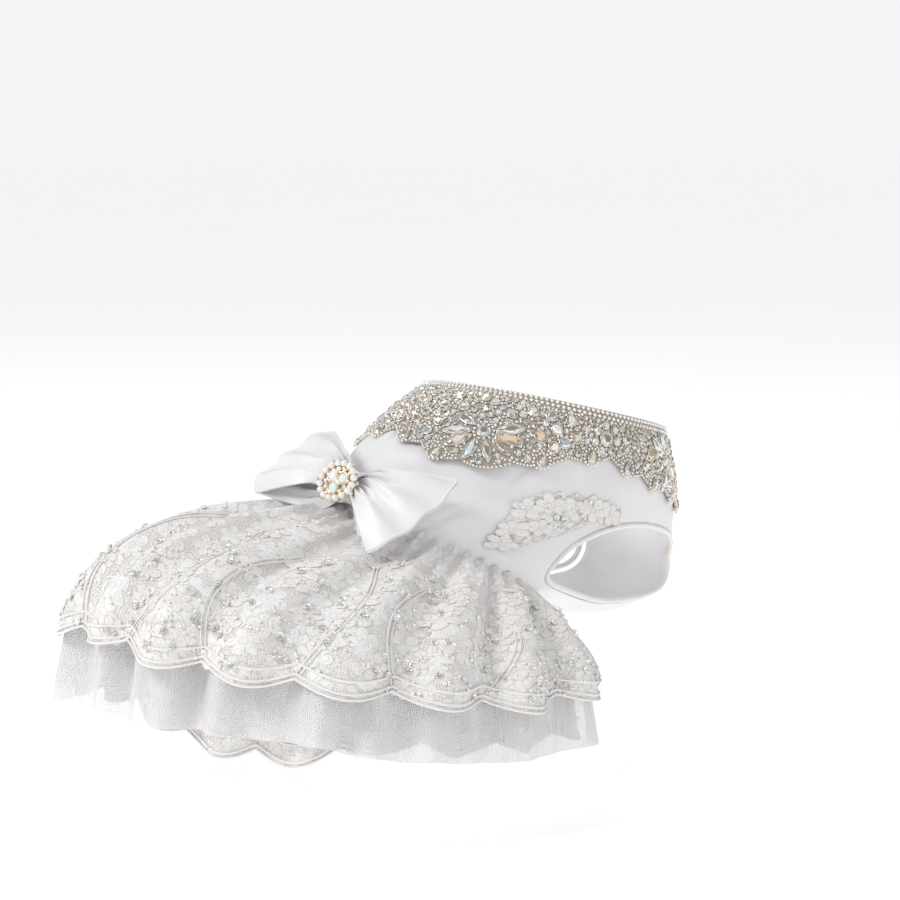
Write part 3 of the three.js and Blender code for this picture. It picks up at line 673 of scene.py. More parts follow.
class Shader:
    """Short way to write a material's nodes."""

    def __init__(self, name):
        self.material = bpy.data.materials.new(name)
        self.material.use_nodes = True
        self.nodes = self.material.node_tree.nodes
        self.links = self.material.node_tree.links
        self.shader = self.nodes["Principled BSDF"]

    def node(self, kind, **settings):
        made = self.nodes.new(kind)
        for key, value in settings.items():
            setattr(made, key, value)
        return made

    def feed(self, value, socket):
        if isinstance(value, bpy.types.NodeSocket):
            self.links.new(value, socket)
        else:
            socket.default_value = value

    def math(self, operation, *values):
        made = self.node("ShaderNodeMath", operation=operation)
        for value, socket in zip(values, made.inputs):
            self.feed(value, socket)
        return made.outputs[0]

    def mix(self, share, first, second):
        made = self.node("ShaderNodeMix", data_type="RGBA")
        self.feed(share, made.inputs[0])
        self.feed(first, made.inputs[6])
        self.feed(second, made.inputs[7])
        return made.outputs[2]

    def coordinates(self, kind, scale):
        """Object coordinates, or the cloth's own, times a scale."""
        if kind == "Object":
            place = self.node("ShaderNodeTexCoord")
        else:
            place = self.node("ShaderNodeUVMap", uv_map="cloth")
        mapping = self.node("ShaderNodeMapping")
        self.links.new(place.outputs[kind], mapping.inputs["Vector"])
        mapping.inputs["Scale"].default_value = scale
        return mapping.outputs["Vector"]

    def noise(self, vector, detail=3.0, scale=1.0):
        made = self.node("ShaderNodeTexNoise")
        made.inputs["Scale"].default_value = scale
        made.inputs["Detail"].default_value = detail
        self.links.new(vector, made.inputs["Vector"])
        return made.outputs["Fac"]

    def step(self, value, low, high):
        """0 below low, 1 above high, smooth between."""
        made = self.node("ShaderNodeMapRange", interpolation_type="SMOOTHSTEP")
        self.feed(value, made.inputs["Value"])
        made.inputs["From Min"].default_value = low
        made.inputs["From Max"].default_value = high
        return made.outputs["Result"]

    def net(self, cells, low, high, randomness=1.0):
        """Threads of a net with so many cells in a metre of the cloth."""
        mesh = self.node("ShaderNodeTexVoronoi", voronoi_dimensions="2D", feature="DISTANCE_TO_EDGE")
        mesh.inputs["Scale"].default_value = cells
        mesh.inputs["Randomness"].default_value = randomness
        self.links.new(self.coordinates("UV", (1, 1, 1)), mesh.inputs["Vector"])
        return self.math("SUBTRACT", 1.0, self.step(mesh.outputs["Distance"], low, high))

    def own(self, name):
        """The piece's own values of that name."""
        return self.node("ShaderNodeAttribute", attribute_name=name)

    def bump(self, height, distance, strength=1.0, under=None):
        made = self.node("ShaderNodeBump")
        made.inputs["Distance"].default_value = distance
        made.inputs["Strength"].default_value = strength
        self.links.new(height, made.inputs["Height"])
        if under is not None:
            self.links.new(under, made.inputs["Normal"])
        return made.outputs["Normal"]

    def settle(self, **sockets):
        """Sets the shader's sockets, with _ for each space in a name, and returns the material."""
        for name, value in sockets.items():
            self.feed(value, self.shader.inputs[name.replace("_", " ")])
        return self.material


def colour(values):
    return (*values, 1.0)


def satin_material(settings):
    made = Shader("white_satin")
    place = made.coordinates("Object", (1, 1, 1))
    soft = made.noise(place, 4.0, 26.0)
    threads = made.node("ShaderNodeTexWave", bands_direction="DIAGONAL")
    threads.inputs["Scale"].default_value = 900
    threads.inputs["Distortion"].default_value = 1.5
    made.links.new(place, threads.inputs["Vector"])
    broad = made.bump(soft, 0.0016, 0.35)
    normal = made.bump(threads.outputs["Fac"], 0.00004, 0.5, broad)
    shade = made.mix(made.step(soft, 0.35, 0.68), colour(settings.satin_shade), colour(settings.satin_colour))
    gloss = {"Roughness": 0.36, "Sheen_Weight": 0.35, "Sheen_Roughness": 0.4}
    return made.settle(Base_Color=shade, Normal=normal, **gloss)


def petal_pattern(made, vector, petals, size, seed):
    """Fill and cord of lace flowers, each in its own cell, as two values from 0 to 1."""
    shift = made.node("ShaderNodeVectorMath", operation="ADD")
    made.links.new(vector, shift.inputs[0])
    shift.inputs[1].default_value = (seed, seed * 1.7, 0)
    cells = made.node("ShaderNodeTexVoronoi", voronoi_dimensions="2D")
    cells.inputs["Scale"].default_value = 1
    cells.inputs["Randomness"].default_value = 0.62
    made.links.new(shift.outputs[0], cells.inputs["Vector"])
    local = made.node("ShaderNodeVectorMath", operation="SUBTRACT")
    made.links.new(shift.outputs[0], local.inputs[0])
    made.links.new(cells.outputs["Position"], local.inputs[1])
    parts = made.node("ShaderNodeSeparateXYZ")
    made.links.new(local.outputs[0], parts.inputs[0])
    chance = made.node("ShaderNodeSeparateColor")
    made.links.new(cells.outputs["Color"], chance.inputs[0])
    angle = made.math("ARCTAN2", parts.outputs[1], parts.outputs[0])
    turned = made.math("MULTIPLY_ADD", chance.outputs[0], 6.28, angle)
    wave = made.math("ABSOLUTE", made.math("COSINE", made.math("MULTIPLY", turned, petals / 2)))
    reach = made.math("MULTIPLY_ADD", made.math("POWER", wave, 0.55), size * 0.55, size * 0.42)
    scaled = made.math("MULTIPLY", reach, made.math("MULTIPLY_ADD", chance.outputs[1], 0.35, 0.75))
    inside = made.math("SUBTRACT", scaled, cells.outputs["Distance"])
    fill = made.step(inside, -0.01, 0.015)
    cord = made.math("SUBTRACT", 1.0, made.step(made.math("ABSOLUTE", inside), 0.012, 0.035))
    heart = made.math("SUBTRACT", cells.outputs["Distance"], size * 0.2)
    knot = made.math("SUBTRACT", 1.0, made.step(made.math("ABSOLUTE", heart), 0.01, 0.03))
    return fill, made.math("MAXIMUM", cord, knot)


def lace_material(name, settings, cells, net_alpha, shade=1.0):
    """Corded floral lace on net, along the cloth's own map. cells is flowers in a metre. shade sets how light
    the painted shade of the open ground is.
    """
    made = Shader(name)
    place = made.coordinates("UV", (cells, cells, 1))
    fill, cord = petal_pattern(made, place, 5, 0.62, 3.1)
    finer = made.coordinates("UV", (cells * 2.3, cells * 2.3, 1))
    small_fill, small_cord = petal_pattern(made, finer, 4, 0.5, 8.4)
    thread = made.net(900, 0.08, 0.2, 0.35)
    lines = made.math("MAXIMUM", cord, made.math("MULTIPLY", small_cord, 0.85))
    solid = made.math("MAXIMUM", fill, made.math("MULTIPLY", small_fill, 0.75))
    height = made.math("MAXIMUM", lines, made.math("MULTIPLY", solid, 0.45))
    cover = made.math("MAXIMUM", made.math("MULTIPLY", solid, 0.97), lines)
    open_part = made.math("MULTIPLY_ADD", thread, 1 - net_alpha, net_alpha)
    alpha = made.math("MAXIMUM", cover, open_part)
    patches = made.noise(made.coordinates("UV", (14, 14, 1)), 3.0)
    warm = made.mix(made.step(patches, 0.4, 0.7), colour(settings.lace_colour), colour(settings.lace_warm))
    # The open ground between the raised cords and petals is darker than they are: partly the lace's own
    # ivory, partly painted shade in the low parts.
    ground = made.mix(0.5, warm, colour([c * 0.94 * shade for c in settings.lace_warm]))
    base = made.mix(height, ground, colour([0.98, 0.975, 0.965]))
    normal = made.bump(height, 0.0007, 0.8)
    return made.settle(Base_Color=base, Alpha=alpha, Normal=normal, Roughness=0.62, Sheen_Weight=0.25)


def tulle_material(name, settings, alpha):
    made = Shader(name)
    place = made.coordinates("UV", (320, 14, 1))
    streaks = made.noise(place, 4.0)
    thread = made.net(1300, 0.05, 0.25)
    veil = made.math("MULTIPLY_ADD", streaks, 0.22, alpha - 0.12)
    cover = made.math("MAXIMUM", veil, made.math("MULTIPLY", thread, 0.9))
    base = made.mix(streaks, colour(settings.tulle_shade), colour(settings.tulle_colour))
    normal = made.bump(streaks, 0.0004, 0.5)
    return made.settle(Base_Color=base, Alpha=cover, Normal=normal, Roughness=0.7, Sheen_Weight=0.4)


def net_material(settings):
    """Champagne net under the stones, with painted shade in the holes between its threads."""
    made = Shader("champagne_net")
    thread = made.net(800, 0.05, 0.25)
    # The holes between the threads are painted darker than the threads: painted shade.
    painted_hole_shade = colour([c * 0.6 for c in settings.net_colour])
    base = made.mix(thread, painted_hole_shade, colour(settings.net_colour))
    return made.settle(Base_Color=base, Normal=made.bump(thread, 0.0004, 0.7), Roughness=0.5, Metallic=0.3)


def thread_material(name, tone, roughness=0.55):
    """Twisted cord and embroidery thread, painted darker in the grooves of the twist as painted shade."""
    made = Shader(name)
    place = made.coordinates("Object", (1, 1, 1))
    twist = made.node("ShaderNodeTexWave", bands_direction="DIAGONAL")
    twist.inputs["Scale"].default_value = 700
    made.links.new(place, twist.inputs["Vector"])
    # The grooves of the twist are painted darker than the threads: painted shade.
    base = made.mix(twist.outputs["Fac"], colour([c * 0.9 for c in tone]), colour(tone))
    normal = made.bump(twist.outputs["Fac"], 0.0001, 0.6)
    return made.settle(Base_Color=base, Normal=normal, Roughness=roughness, Sheen_Weight=0.3)


def petal_material(name, settings, depth):
    """Closely stitched petals, with the ground of the lace showing between their threads, painted darker
    there as painted shade.
    """
    made = Shader(name)
    place = made.coordinates("Object", (1, 1, 1))
    stitches = made.noise(place, 2.0, 1500.0)
    patches = made.noise(place, 3.0, 60.0)
    whites = made.mix(made.step(patches, 0.4, 0.65), colour((0.96, 0.955, 0.95)), colour(settings.lace_warm))
    # Between the stitches the lace's ground is painted darker by depth: painted shade in the gaps.
    base = made.mix(made.step(stitches, 0.35, 0.6), colour([c * depth for c in settings.lace_warm]), whites)
    return made.settle(Base_Color=base, Normal=made.bump(stitches, 0.0002, 0.8), Roughness=0.6)


def stone_material(settings):
    """Foil-backed cut glass with painted light on its facets: each facet is painted at random between painted
    shade and a painted highlight.
    """
    made = Shader("cut_glass")
    # Painted highlights and painted shade of the facets, from each face's random value.
    painted_glint_mask = made.step(made.own("painted_glint").outputs["Fac"], 0.1, 0.75)
    painted_facet_light = made.mix(painted_glint_mask, colour(settings.stone_shade), colour((1.0, 1.0, 1.0)))
    tinted = made.node("ShaderNodeMix", data_type="RGBA", blend_type="MULTIPLY")
    tinted.inputs[0].default_value = 1.0
    made.links.new(painted_facet_light, tinted.inputs[6])
    made.links.new(made.own("tint").outputs["Color"], tinted.inputs[7])
    base = tinted.outputs[2]
    return made.settle(Base_Color=base, Metallic=0.35, Roughness=0.06, Coat_Weight=1.0, Coat_Roughness=0.02)


def metal_material(name, tone, roughness):
    made = Shader(name)
    wear = made.noise(made.coordinates("Object", (1, 1, 1)), 3.0, 420.0)
    base = made.mix(made.step(wear, 0.3, 0.7), colour([c * 0.72 for c in tone]), colour(tone))
    rough = made.math("MULTIPLY_ADD", wear, 0.2, roughness)
    return made.settle(Base_Color=base, Roughness=rough, Metallic=1.0)


def bead_material(settings):
    """Glass and pearl beads, each with its own tint."""
    made = Shader("beads")
    hue = made.own("tint").outputs["Color"]
    mottle = made.noise(made.coordinates("Object", (1, 1, 1)), 2.0, 900.0)
    base = made.mix(made.step(mottle, 0.3, 0.75), hue, colour(settings.pearl_colour))
    return made.settle(Base_Color=base, Metallic=0.25, Roughness=0.2, Coat_Weight=1.0, Coat_Roughness=0.08)


def clear_material():
    """Clear cup sequins, with grey and white clouds painted on as painted reflections."""
    made = Shader("clear_sequin")
    cloud = made.noise(made.coordinates("Object", (1, 1, 1)), 2.0, 300.0)
    # Grey and white clouds on the clear sequins: painted reflections.
    base = made.mix(made.step(cloud, 0.35, 0.6), colour((0.66, 0.65, 0.65)), colour((0.97, 0.96, 0.95)))
    return made.settle(Base_Color=base, Metallic=0.3, Roughness=0.08, Coat_Weight=1.0)


def opal_material():
    made = Shader("milky_opal")
    cloud = made.noise(made.coordinates("Object", (1, 1, 1)), 4.0, 380.0)
    base = made.mix(made.step(cloud, 0.35, 0.7), colour((0.74, 0.83, 0.84)), colour((0.97, 0.97, 0.94)))
    return made.settle(Base_Color=base, Roughness=0.12, Coat_Weight=1.0)


def floor_material():
    made = Shader("pale_floor")
    grain = made.noise(made.coordinates("Object", (1, 1, 1)), 2.0, 3.0)
    base = made.mix(grain, colour((0.9, 0.9, 0.9)), colour((0.93, 0.93, 0.93)))
    white = (1.0, 1.0, 1.0, 1.0)
    return made.settle(Base_Color=base, Roughness=0.9, Emission_Color=white, Emission_Strength=0.42)


MATERIALS = {}


def material(name):
    """The named material, made the first time that a piece asks for it."""
    settings = bpy.context.scene.dress_looks
    makers = {
        "satin": lambda: satin_material(settings),
        "lace": lambda: lace_material("floral_lace", settings, 78, 0.7),
        "trim_lace": lambda: lace_material("trim_lace", settings, 80, 0.45),
        "side_lace": lambda: lace_material("side_lace", settings, 95, 0.1, 1.1),
        "net": lambda: net_material(settings),
        "tulle": lambda: tulle_material("white_tulle", settings, 0.27),
        "cord": lambda: thread_material("lace_cord", (0.97, 0.95, 0.92)),
        "petal": lambda: petal_material("lace_petal", settings, 0.9),
        "side_petal": lambda: petal_material("side_petal", settings, 0.97),
        "binding": lambda: thread_material("satin_binding", (0.95, 0.92, 0.87), 0.4),
        "stone": lambda: stone_material(settings),
        "cup": lambda: metal_material("silver_cup", settings.metal_colour, 0.18),
        "gold": lambda: metal_material("rose_gold", settings.gold_colour, 0.14),
        "bead": lambda: bead_material(settings),
        "clear": clear_material,
        "opal": opal_material,
        "floor": floor_material,
    }
    if name not in MATERIALS:
        MATERIALS[name] = makers[name]()
    return MATERIALS[name]


# Pieces

def sheet_grid(turns, shares, point_at):
    """Grid of points of a sheet. point_at takes a share and an angle."""
    turn, share = np.meshgrid(turns, shares, indexing="ij")
    return point_at(share, turn)


def lengths_map(points, wrap=False):
    """Map of a sheet in metres: round the body along its middle row, and down each column."""
    rows = np.concatenate([points, points[:1]]) if wrap else points
    middle = rows.shape[1] // 2
    around = np.concatenate([[0], np.cumsum(np.linalg.norm(np.diff(rows[:, middle], axis=0), axis=-1))])
    down = np.linalg.norm(np.diff(rows, axis=1), axis=-1)
    down = np.concatenate([np.zeros((len(rows), 1)), np.cumsum(down, 1)], 1)
    return np.stack([np.broadcast_to(around[:, None], down.shape), down], -1)


def leg_hole_outline(count, margin=0.0):
    """Outline of the right leg hole seen from the side, on a smooth curve through its corners."""
    corners = np.array(LEG_HOLE_OUTLINE) * (LEG_HOLE_LENGTH, LEG_HOLE_HEIGHT)
    corners[:, 1] -= LEG_HOLE_FALL
    total = len(corners)
    steps = np.arange(count) * total / count
    i = steps.astype(int)
    t = (steps - i)[:, None]
    p0, p1, p2, p3 = (corners[(i + k) % total] for k in (-1, 0, 1, 2))
    curve = 0.5 * (
        2 * p1 + (p2 - p0) * t + (2 * p0 - 5 * p1 + 4 * p2 - p3) * t**2 + (3 * p1 - p0 - 3 * p2 + p3) * t**3
    )
    ahead = unit(np.roll(curve, -1, 0) - np.roll(curve, 1, 0))
    return curve + np.stack([-ahead[:, 1], ahead[:, 0]], -1) * margin


def bodice_relief(at, turn):
    """Seams and soft drawn folds of the satin, as lift out of the bodice."""
    side = folded(turn)
    drawn = np.exp(-(((side - 42) / 26) ** 2)) * np.exp(-(((at - 0.72) / 0.26) ** 2))
    folds = SATIN_FOLD * drawn * np.sin(np.radians(side * 6 + at * 620))
    seam = -SATIN_SEAM * np.exp(-(((side - 60 + 14 * at) / 1.3) ** 2)) * np.clip((at - 0.25) * 4, 0, 1)
    puff = SATIN_UNEVEN * ripple(turn / 360, at * 0.5, 5, 6, 1, 4)
    edge = np.clip((1 - at) * 12, 0, 1) * np.clip(at * 8, 0.2, 1)
    return (folds + puff) * edge + seam


def make_bodice():
    turns = np.arange(0, 360, 1.5)
    shares = np.linspace(0, 1 + WAIST_TUCK, 64)
    points = sheet_grid(turns, shares, lambda s, t: lifted(bodice_point, s, t, bodice_relief(s, t)))
    piece = cloth("bodice_satin", points, lengths_map(points, True), BODICE_WALL, wrap=True)
    cut_leg_holes(piece)
    place_piece(piece, material("satin"), "satin", "bodice")


def cut_leg_holes(piece):
    outline = leg_hole_outline(72, BINDING_RADIUS)
    reach = CHEST_WIDTH
    front = [(x, -reach, z) for x, z in outline]
    back = [(x, reach, z) for x, z in outline]
    count = len(outline)
    faces = [tuple(range(count))[::-1], tuple(range(count, 2 * count))]
    faces += [(i, (i + 1) % count, count + (i + 1) % count, count + i) for i in range(count)]
    cutter = new_object("leg_hole_cutter", front + back, faces)
    fix_normals(cutter)
    cut = piece.modifiers.new("leg_holes", "BOOLEAN")
    cut.operation = "DIFFERENCE"
    cut.object = cutter
    apply_modifiers(piece)
    bpy.data.objects.remove(cutter)


def side_places(outline):
    """Share and angle on the bodice's right side of points seen from the side."""
    share, turn = np.meshgrid(np.linspace(0, 1, 201), np.linspace(20, 176, 313), indexing="ij")
    points = bodice_point(share, turn)
    found = []
    for x, z in outline:
        distance = (points[..., 0] - x) ** 2 + (points[..., 2] - z) ** 2
        nearest = np.unravel_index(np.argmin(distance), distance.shape)
        found.append((share[nearest], turn[nearest]))
    return np.array(found).T


def make_bindings():
    share, turn = side_places(leg_hole_outline(BINDING_STEPS))
    for _ in range(3):
        share = (np.roll(share, 1) + 2 * share + np.roll(share, -1)) / 4
        turn = (np.roll(turn, 1) + 2 * turn + np.roll(turn, -1)) / 4
    path = lifted(bodice_point, share, turn, np.full(BINDING_STEPS, -BODICE_WALL / 2))
    out = sheet_axes(bodice_point, share, turn)[2]
    wave = 1 + 0.05 * np.sin(np.arange(BINDING_STEPS) * 1.9)[None, :, None, None]
    for side, mirror in (("right", 1), ("left", -1)):
        flip = np.array([1, mirror, 1])
        piece = tubes(f"leg_edge_{side}", [path * flip], [out * flip], BINDING_RADIUS * wave, 12, True)
        fix_normals(piece)
        place_piece(piece, material("binding"), "satin", f"leg_binding_{side}")


def collar_point(part, turn):
    at = share_at(collar_depth(turn) * part, turn)
    return lifted(bodice_point, at, turn, np.full_like(part, COLLAR_LIFT))


def make_collar_net():
    turns = np.arange(0, 360, 0.75)
    shares = np.linspace(0, 1, 16)
    points = sheet_grid(turns, shares, collar_point)
    piece = cloth("collar_net", points, lengths_map(points, True), NET_WALL, wrap=True)
    place_piece(piece, material("net"), "net", "collar")


class StoneField:
    """Spots already taken on the collar, so that stones and beads don't overlap."""

    def __init__(self):
        self.points = np.zeros((0, 3))
        self.radii = np.zeros(0)
        self.items = []

    def fits(self, point, radius, gap):
        if not len(self.radii):
            return True
        reach = self.radii + radius + gap
        return bool(np.all(((self.points - point) ** 2).sum(-1) > reach**2))

    def add(self, kind, turn, depth, size, bearing=0.0, tint=(1, 1, 1)):
        spot = [np.ravel(part) for part in cloth_spot(turn, depth)]
        length, width = size
        steps = max(1, int(round(length / width)))
        angle = math.radians(bearing)
        along = spot[2] * math.cos(angle) - spot[1] * math.sin(angle)
        for k in range(steps):
            offset = (k - (steps - 1) / 2) * (2 * length / steps)
            self.points = np.vstack([self.points, spot[0] + along * offset])
            self.radii = np.append(self.radii, min(length, width * 1.02))
        self.items.append((kind, spot, size, bearing, tint))

    def pack(self, kind, size, gap, tries, seed, tints, spread=0.0):
        """Throws spots at the collar and keeps those that fit."""
        source = np.random.default_rng(seed)
        turns = source.uniform(0, 360, tries)
        edge = collar_depth(turns) - size * 0.6
        depths = size + source.random(tries) * np.maximum(edge - size, 0)
        origins, down, around, out = cloth_spot(turns, depths)
        sizes = size * (1 + spread * source.uniform(-1, 1, tries))
        picks = source.integers(0, len(tints), tries)
        bearings = source.uniform(0, 360, tries)
        for i in range(tries):
            if not self.fits(origins[i], sizes[i], gap):
                continue
            self.points = np.vstack([self.points, origins[i]])
            self.radii = np.append(self.radii, sizes[i])
            spot = [origins[i], down[i], around[i], out[i]]
            self.items.append((kind, spot, (sizes[i], sizes[i]), bearings[i], tints[picks[i]]))

    def chosen(self, kind):
        """Spots, half sizes, bearings and tints of all items of a kind."""
        items = [item for item in self.items if item[0] == kind]
        spots = [np.array([item[1][k] for item in items]) for k in range(4)]
        return (spots, *(np.array([item[part] for item in items]) for part in (2, 3, 4)))


CLEAR = (1.0, 0.99, 0.97)
CHAMPAGNE = (0.98, 0.9, 0.78)
AMBER = (1.0, 0.8, 0.58)
ICE = (0.86, 0.95, 1.0)


def ring_of_beads(field, turn, depth, radius, count, bead, tint=CHAMPAGNE, start=0.0):
    per_degree = float(degree_length(turn, depth))
    for i in range(count):
        angle = start + i * 2 * math.pi / count
        at_turn = turn + radius * math.cos(angle) / per_degree
        at_depth = depth + radius * math.sin(angle)
        if at_depth > bead:
            field.add("bead", at_turn, at_depth, (bead, bead), tint=tint)


def lay_petals(field, mirror, centre, bearings, reach, amber=None):
    turn, depth = centre
    per_degree = float(degree_length(turn, depth))
    for number, bearing in enumerate(bearings):
        angle = math.radians(bearing)
        distance = reach + PETAL_LENGTH / 2
        at_turn = turn + distance * math.cos(angle) / per_degree
        at_depth = depth - distance * math.sin(angle)
        tint = AMBER if number == amber else (CLEAR, ICE, CHAMPAGNE)[number % 3]
        kind = "bar" if number == amber else "leaf"
        size = (PETAL_LENGTH / 2, PETAL_WIDTH / 2)
        field.add(kind, mirror * at_turn, at_depth, size, bearing if mirror > 0 else 180 - bearing, tint)


def lay_motifs(field):
    for mirror in (1, -1):
        turn, share = FLOWER_AT
        depth = share * COLLAR_DEPTH
        field.add("round", mirror * turn, depth, (FLOWER_CENTRE / 2, FLOWER_CENTRE / 2), tint=ICE)
        lay_petals(field, mirror, (turn, depth), FLOWER_PETALS, FLOWER_CENTRE / 2 + 0.0022, amber=1)
        ring_of_beads(field, mirror * turn, depth, FLOWER_CENTRE / 2 + 0.0012, 12, 0.0008)
        turn, share = ROSETTE_AT
        depth = share * COLLAR_DEPTH
        field.add("cushion", mirror * turn, depth, (ROSETTE_CENTRE / 2, ROSETTE_CENTRE / 2), tint=CLEAR)
        per_degree = float(degree_length(turn, depth))
        for i in range(ROSETTE_STONES):
            angle = i * 2 * math.pi / ROSETTE_STONES
            reach = (ROSETTE_CENTRE + ROSETTE_STONE) / 2 + 0.0006
            spot_turn = turn + reach * math.cos(angle) / per_degree
            spot_depth = depth + reach * math.sin(angle)
            tint = (CLEAR, CHAMPAGNE)[i % 2]
            field.add("round", mirror * spot_turn, spot_depth, (ROSETTE_STONE / 2,) * 2, tint=tint)
        turn, share = FAN_AT
        depth = share * COLLAR_DEPTH
        field.add("round", mirror * turn, depth, (FAN_CENTRE, FAN_CENTRE), tint=CHAMPAGNE)
        lay_petals(field, mirror, (turn, depth), FAN_PETALS, 0.0032)


def lay_edge(field):
    """A drop with its ring of beads in each scallop of the lower edge."""
    for i in range(COLLAR_SCALLOPS):
        turn = (i + 0.5) * 360 / COLLAR_SCALLOPS
        depth = float(collar_depth(turn)) - 0.0026
        half = 0.0021
        origin = np.ravel(cloth_spot(turn, depth)[0])
        if not field.fits(origin, half, -0.0004):
            continue
        field.add("pear", turn, depth, (0.0033, 0.0025), 90, (CLEAR, CHAMPAGNE, CLEAR)[i % 3])
        ring_of_beads(field, turn, depth, 0.004, 14, 0.00075)


def lay_rows(field):
    """Rows of small pearls along the neck edge, and a chain of beads along the scallops."""
    for row, depth in enumerate(PEARL_ROWS):
        for i in range(ROW_PEARLS):
            turn = (i + row / 2) * (360 / ROW_PEARLS)
            field.add("bead", turn, depth, (ROW_PEARL, ROW_PEARL), tint=(CLEAR, CHAMPAGNE)[(i + row) % 2])
    for i in range(EDGE_BEADS):
        turn = i * 360 / EDGE_BEADS
        depth = float(collar_depth(turn)) - 0.0004
        origin = np.ravel(cloth_spot(turn, depth)[0])
        if field.fits(origin, 0.0005, 0):
            field.add("bead", turn, depth, (EDGE_BEAD, EDGE_BEAD), tint=CHAMPAGNE)


def tint_table(*pairs):
    return [tint for tint, count in pairs for _ in range(count)]


def make_collar_stones():
    field = StoneField()
    lay_motifs(field)
    lay_edge(field)
    lay_rows(field)
    stones = tint_table((CLEAR, 5), (CHAMPAGNE, 3), (ICE, 2), (AMBER, 1))
    beads = tint_table((CHAMPAGNE, 3), (CLEAR, 3), ((0.8, 0.75, 0.68), 4))
    for kind, size, gap, throws, seed, spread in COLLAR_FILL:
        field.pack(kind, size, gap, throws, seed, beads if kind == "bead" else stones, spread)
    stones, cups = [], []
    for number, (kind, count) in enumerate(STONE_CORNERS.items()):
        spots, halves, bearings, tints = field.chosen(kind)
        halves = halves * STONE_SHARE
        tall = np.clip(halves[:, 1] * 0.8, 0.0006, 0.0017)
        sizes = np.column_stack([halves, tall])
        laid = (spots, sizes, bearings, STONE_LIFT)
        stones.append(copies(f"stones_{kind}", cut_stone(kind, count), *laid, tints, number))
        cups.append(copies(f"cups_{kind}", stone_cup(kind, count), *laid))
    place_piece(join("collar_stones", stones), material("stone"), "crystal", *motif_nodes())
    metal = join("collar_cups", cups)
    smooth(metal)
    place_piece(metal, material("cup"), "gold")
    spots, halves, _, tints = field.chosen("bead")
    sizes = np.repeat(halves[:, :1], 3, 1)
    piece = copies("collar_beads", round_bead(1), spots, sizes, 0, BEAD_LIFT, tints)
    smooth(piece)
    place_piece(piece, material("bead"), "crystal")


def motif_nodes():
    return [f"{kind}_{side}" for kind in ("flower", "rosette", "fan") for side in ("right", "left")]


def spun(flat, angle):
    """Flat points turned anticlockwise by an angle in radians."""
    x, y = flat[..., 0], flat[..., 1]
    turned_x = x * math.cos(angle) - y * math.sin(angle)
    turned_y = x * math.sin(angle) + y * math.cos(angle)
    return np.stack([turned_x, turned_y], -1)


def lace_flower(petals, reach, seed):
    """Flat lace flower: paths of its petals' cords, each of CORD_POINTS points, in local metres."""
    source = np.random.default_rng(seed)
    t = np.linspace(0, 2 * math.pi, CORD_POINTS)
    paths = []
    for i in range(petals):
        angle = i * 2 * math.pi / petals + source.uniform(-0.12, 0.12)
        long = reach * source.uniform(0.85, 1.1)
        x = long * (0.55 - 0.42 * np.cos(t))
        y = long * 0.34 * np.sin(t) * (0.75 + 0.35 * (x / long))
        paths.append(spun(np.stack([x, y], -1), angle))
    paths.append(np.stack([0.17 * reach * np.cos(t), 0.17 * reach * np.sin(t)], -1))
    return np.array(paths)


def drape(flat, centre, surface, scales, lift):
    """Lays flat paths on a surface round a centre of (angle, share). Returns points and normals."""
    turn0, share0 = centre
    per_degree, per_share = scales
    turn = turn0 + flat[..., 0] / per_degree
    share = share0 + flat[..., 1] / per_share
    low = surface(share, turn, lift)
    return low, unit(surface(share, turn, lift + 0.001) - low)


def embroider(name, centres, surface, scale_at, reach, cord, fill_material, seed, slot):
    """Corded flowers with a raised filling, laid on a surface."""
    source = np.random.default_rng(seed)
    cords, normals, fills, fill_faces = [], [], [], []
    for number, centre in enumerate(centres):
        size = reach * source.uniform(0.75, 1.2)
        flat = lace_flower(LACE_PETALS + (number % 2), size, seed * 100 + number)
        turned = spun(flat, source.uniform(0, 6.28))
        scales = scale_at(centre)
        path, normal = drape(turned, centre, surface, scales, 0.0003)
        cords.append(path)
        normals.append(normal)
        middle = turned.mean(1, keepdims=True)
        for petal, heart in zip(turned, middle):
            laid = []
            for part, height in PETAL_FILL:
                ring = heart + (petal[:-1] - heart) * part
                laid.append(drape(ring, centre, surface, scales, height)[0])
            verts, faces = ringed(laid, close_top=False)
            start = len(fills) * len(verts)
            fills.append(verts)
            fill_faces += [tuple(start + i for i in face) for face in faces]
    flat_cords = np.concatenate(cords)
    piece = tubes(f"{name}_cords", flat_cords, np.concatenate(normals), cord, 4)
    fix_normals(piece)
    place_piece(piece, material("cord"), slot)
    filled = new_object(f"{name}_petals", np.concatenate(fills), fill_faces)
    smooth(filled)
    place_piece(filled, fill_material, slot)
    return [piece, filled]


def bodice_surface(share, turn, lift):
    return lifted(bodice_point, share, turn, bodice_relief(share, turn) + lift)


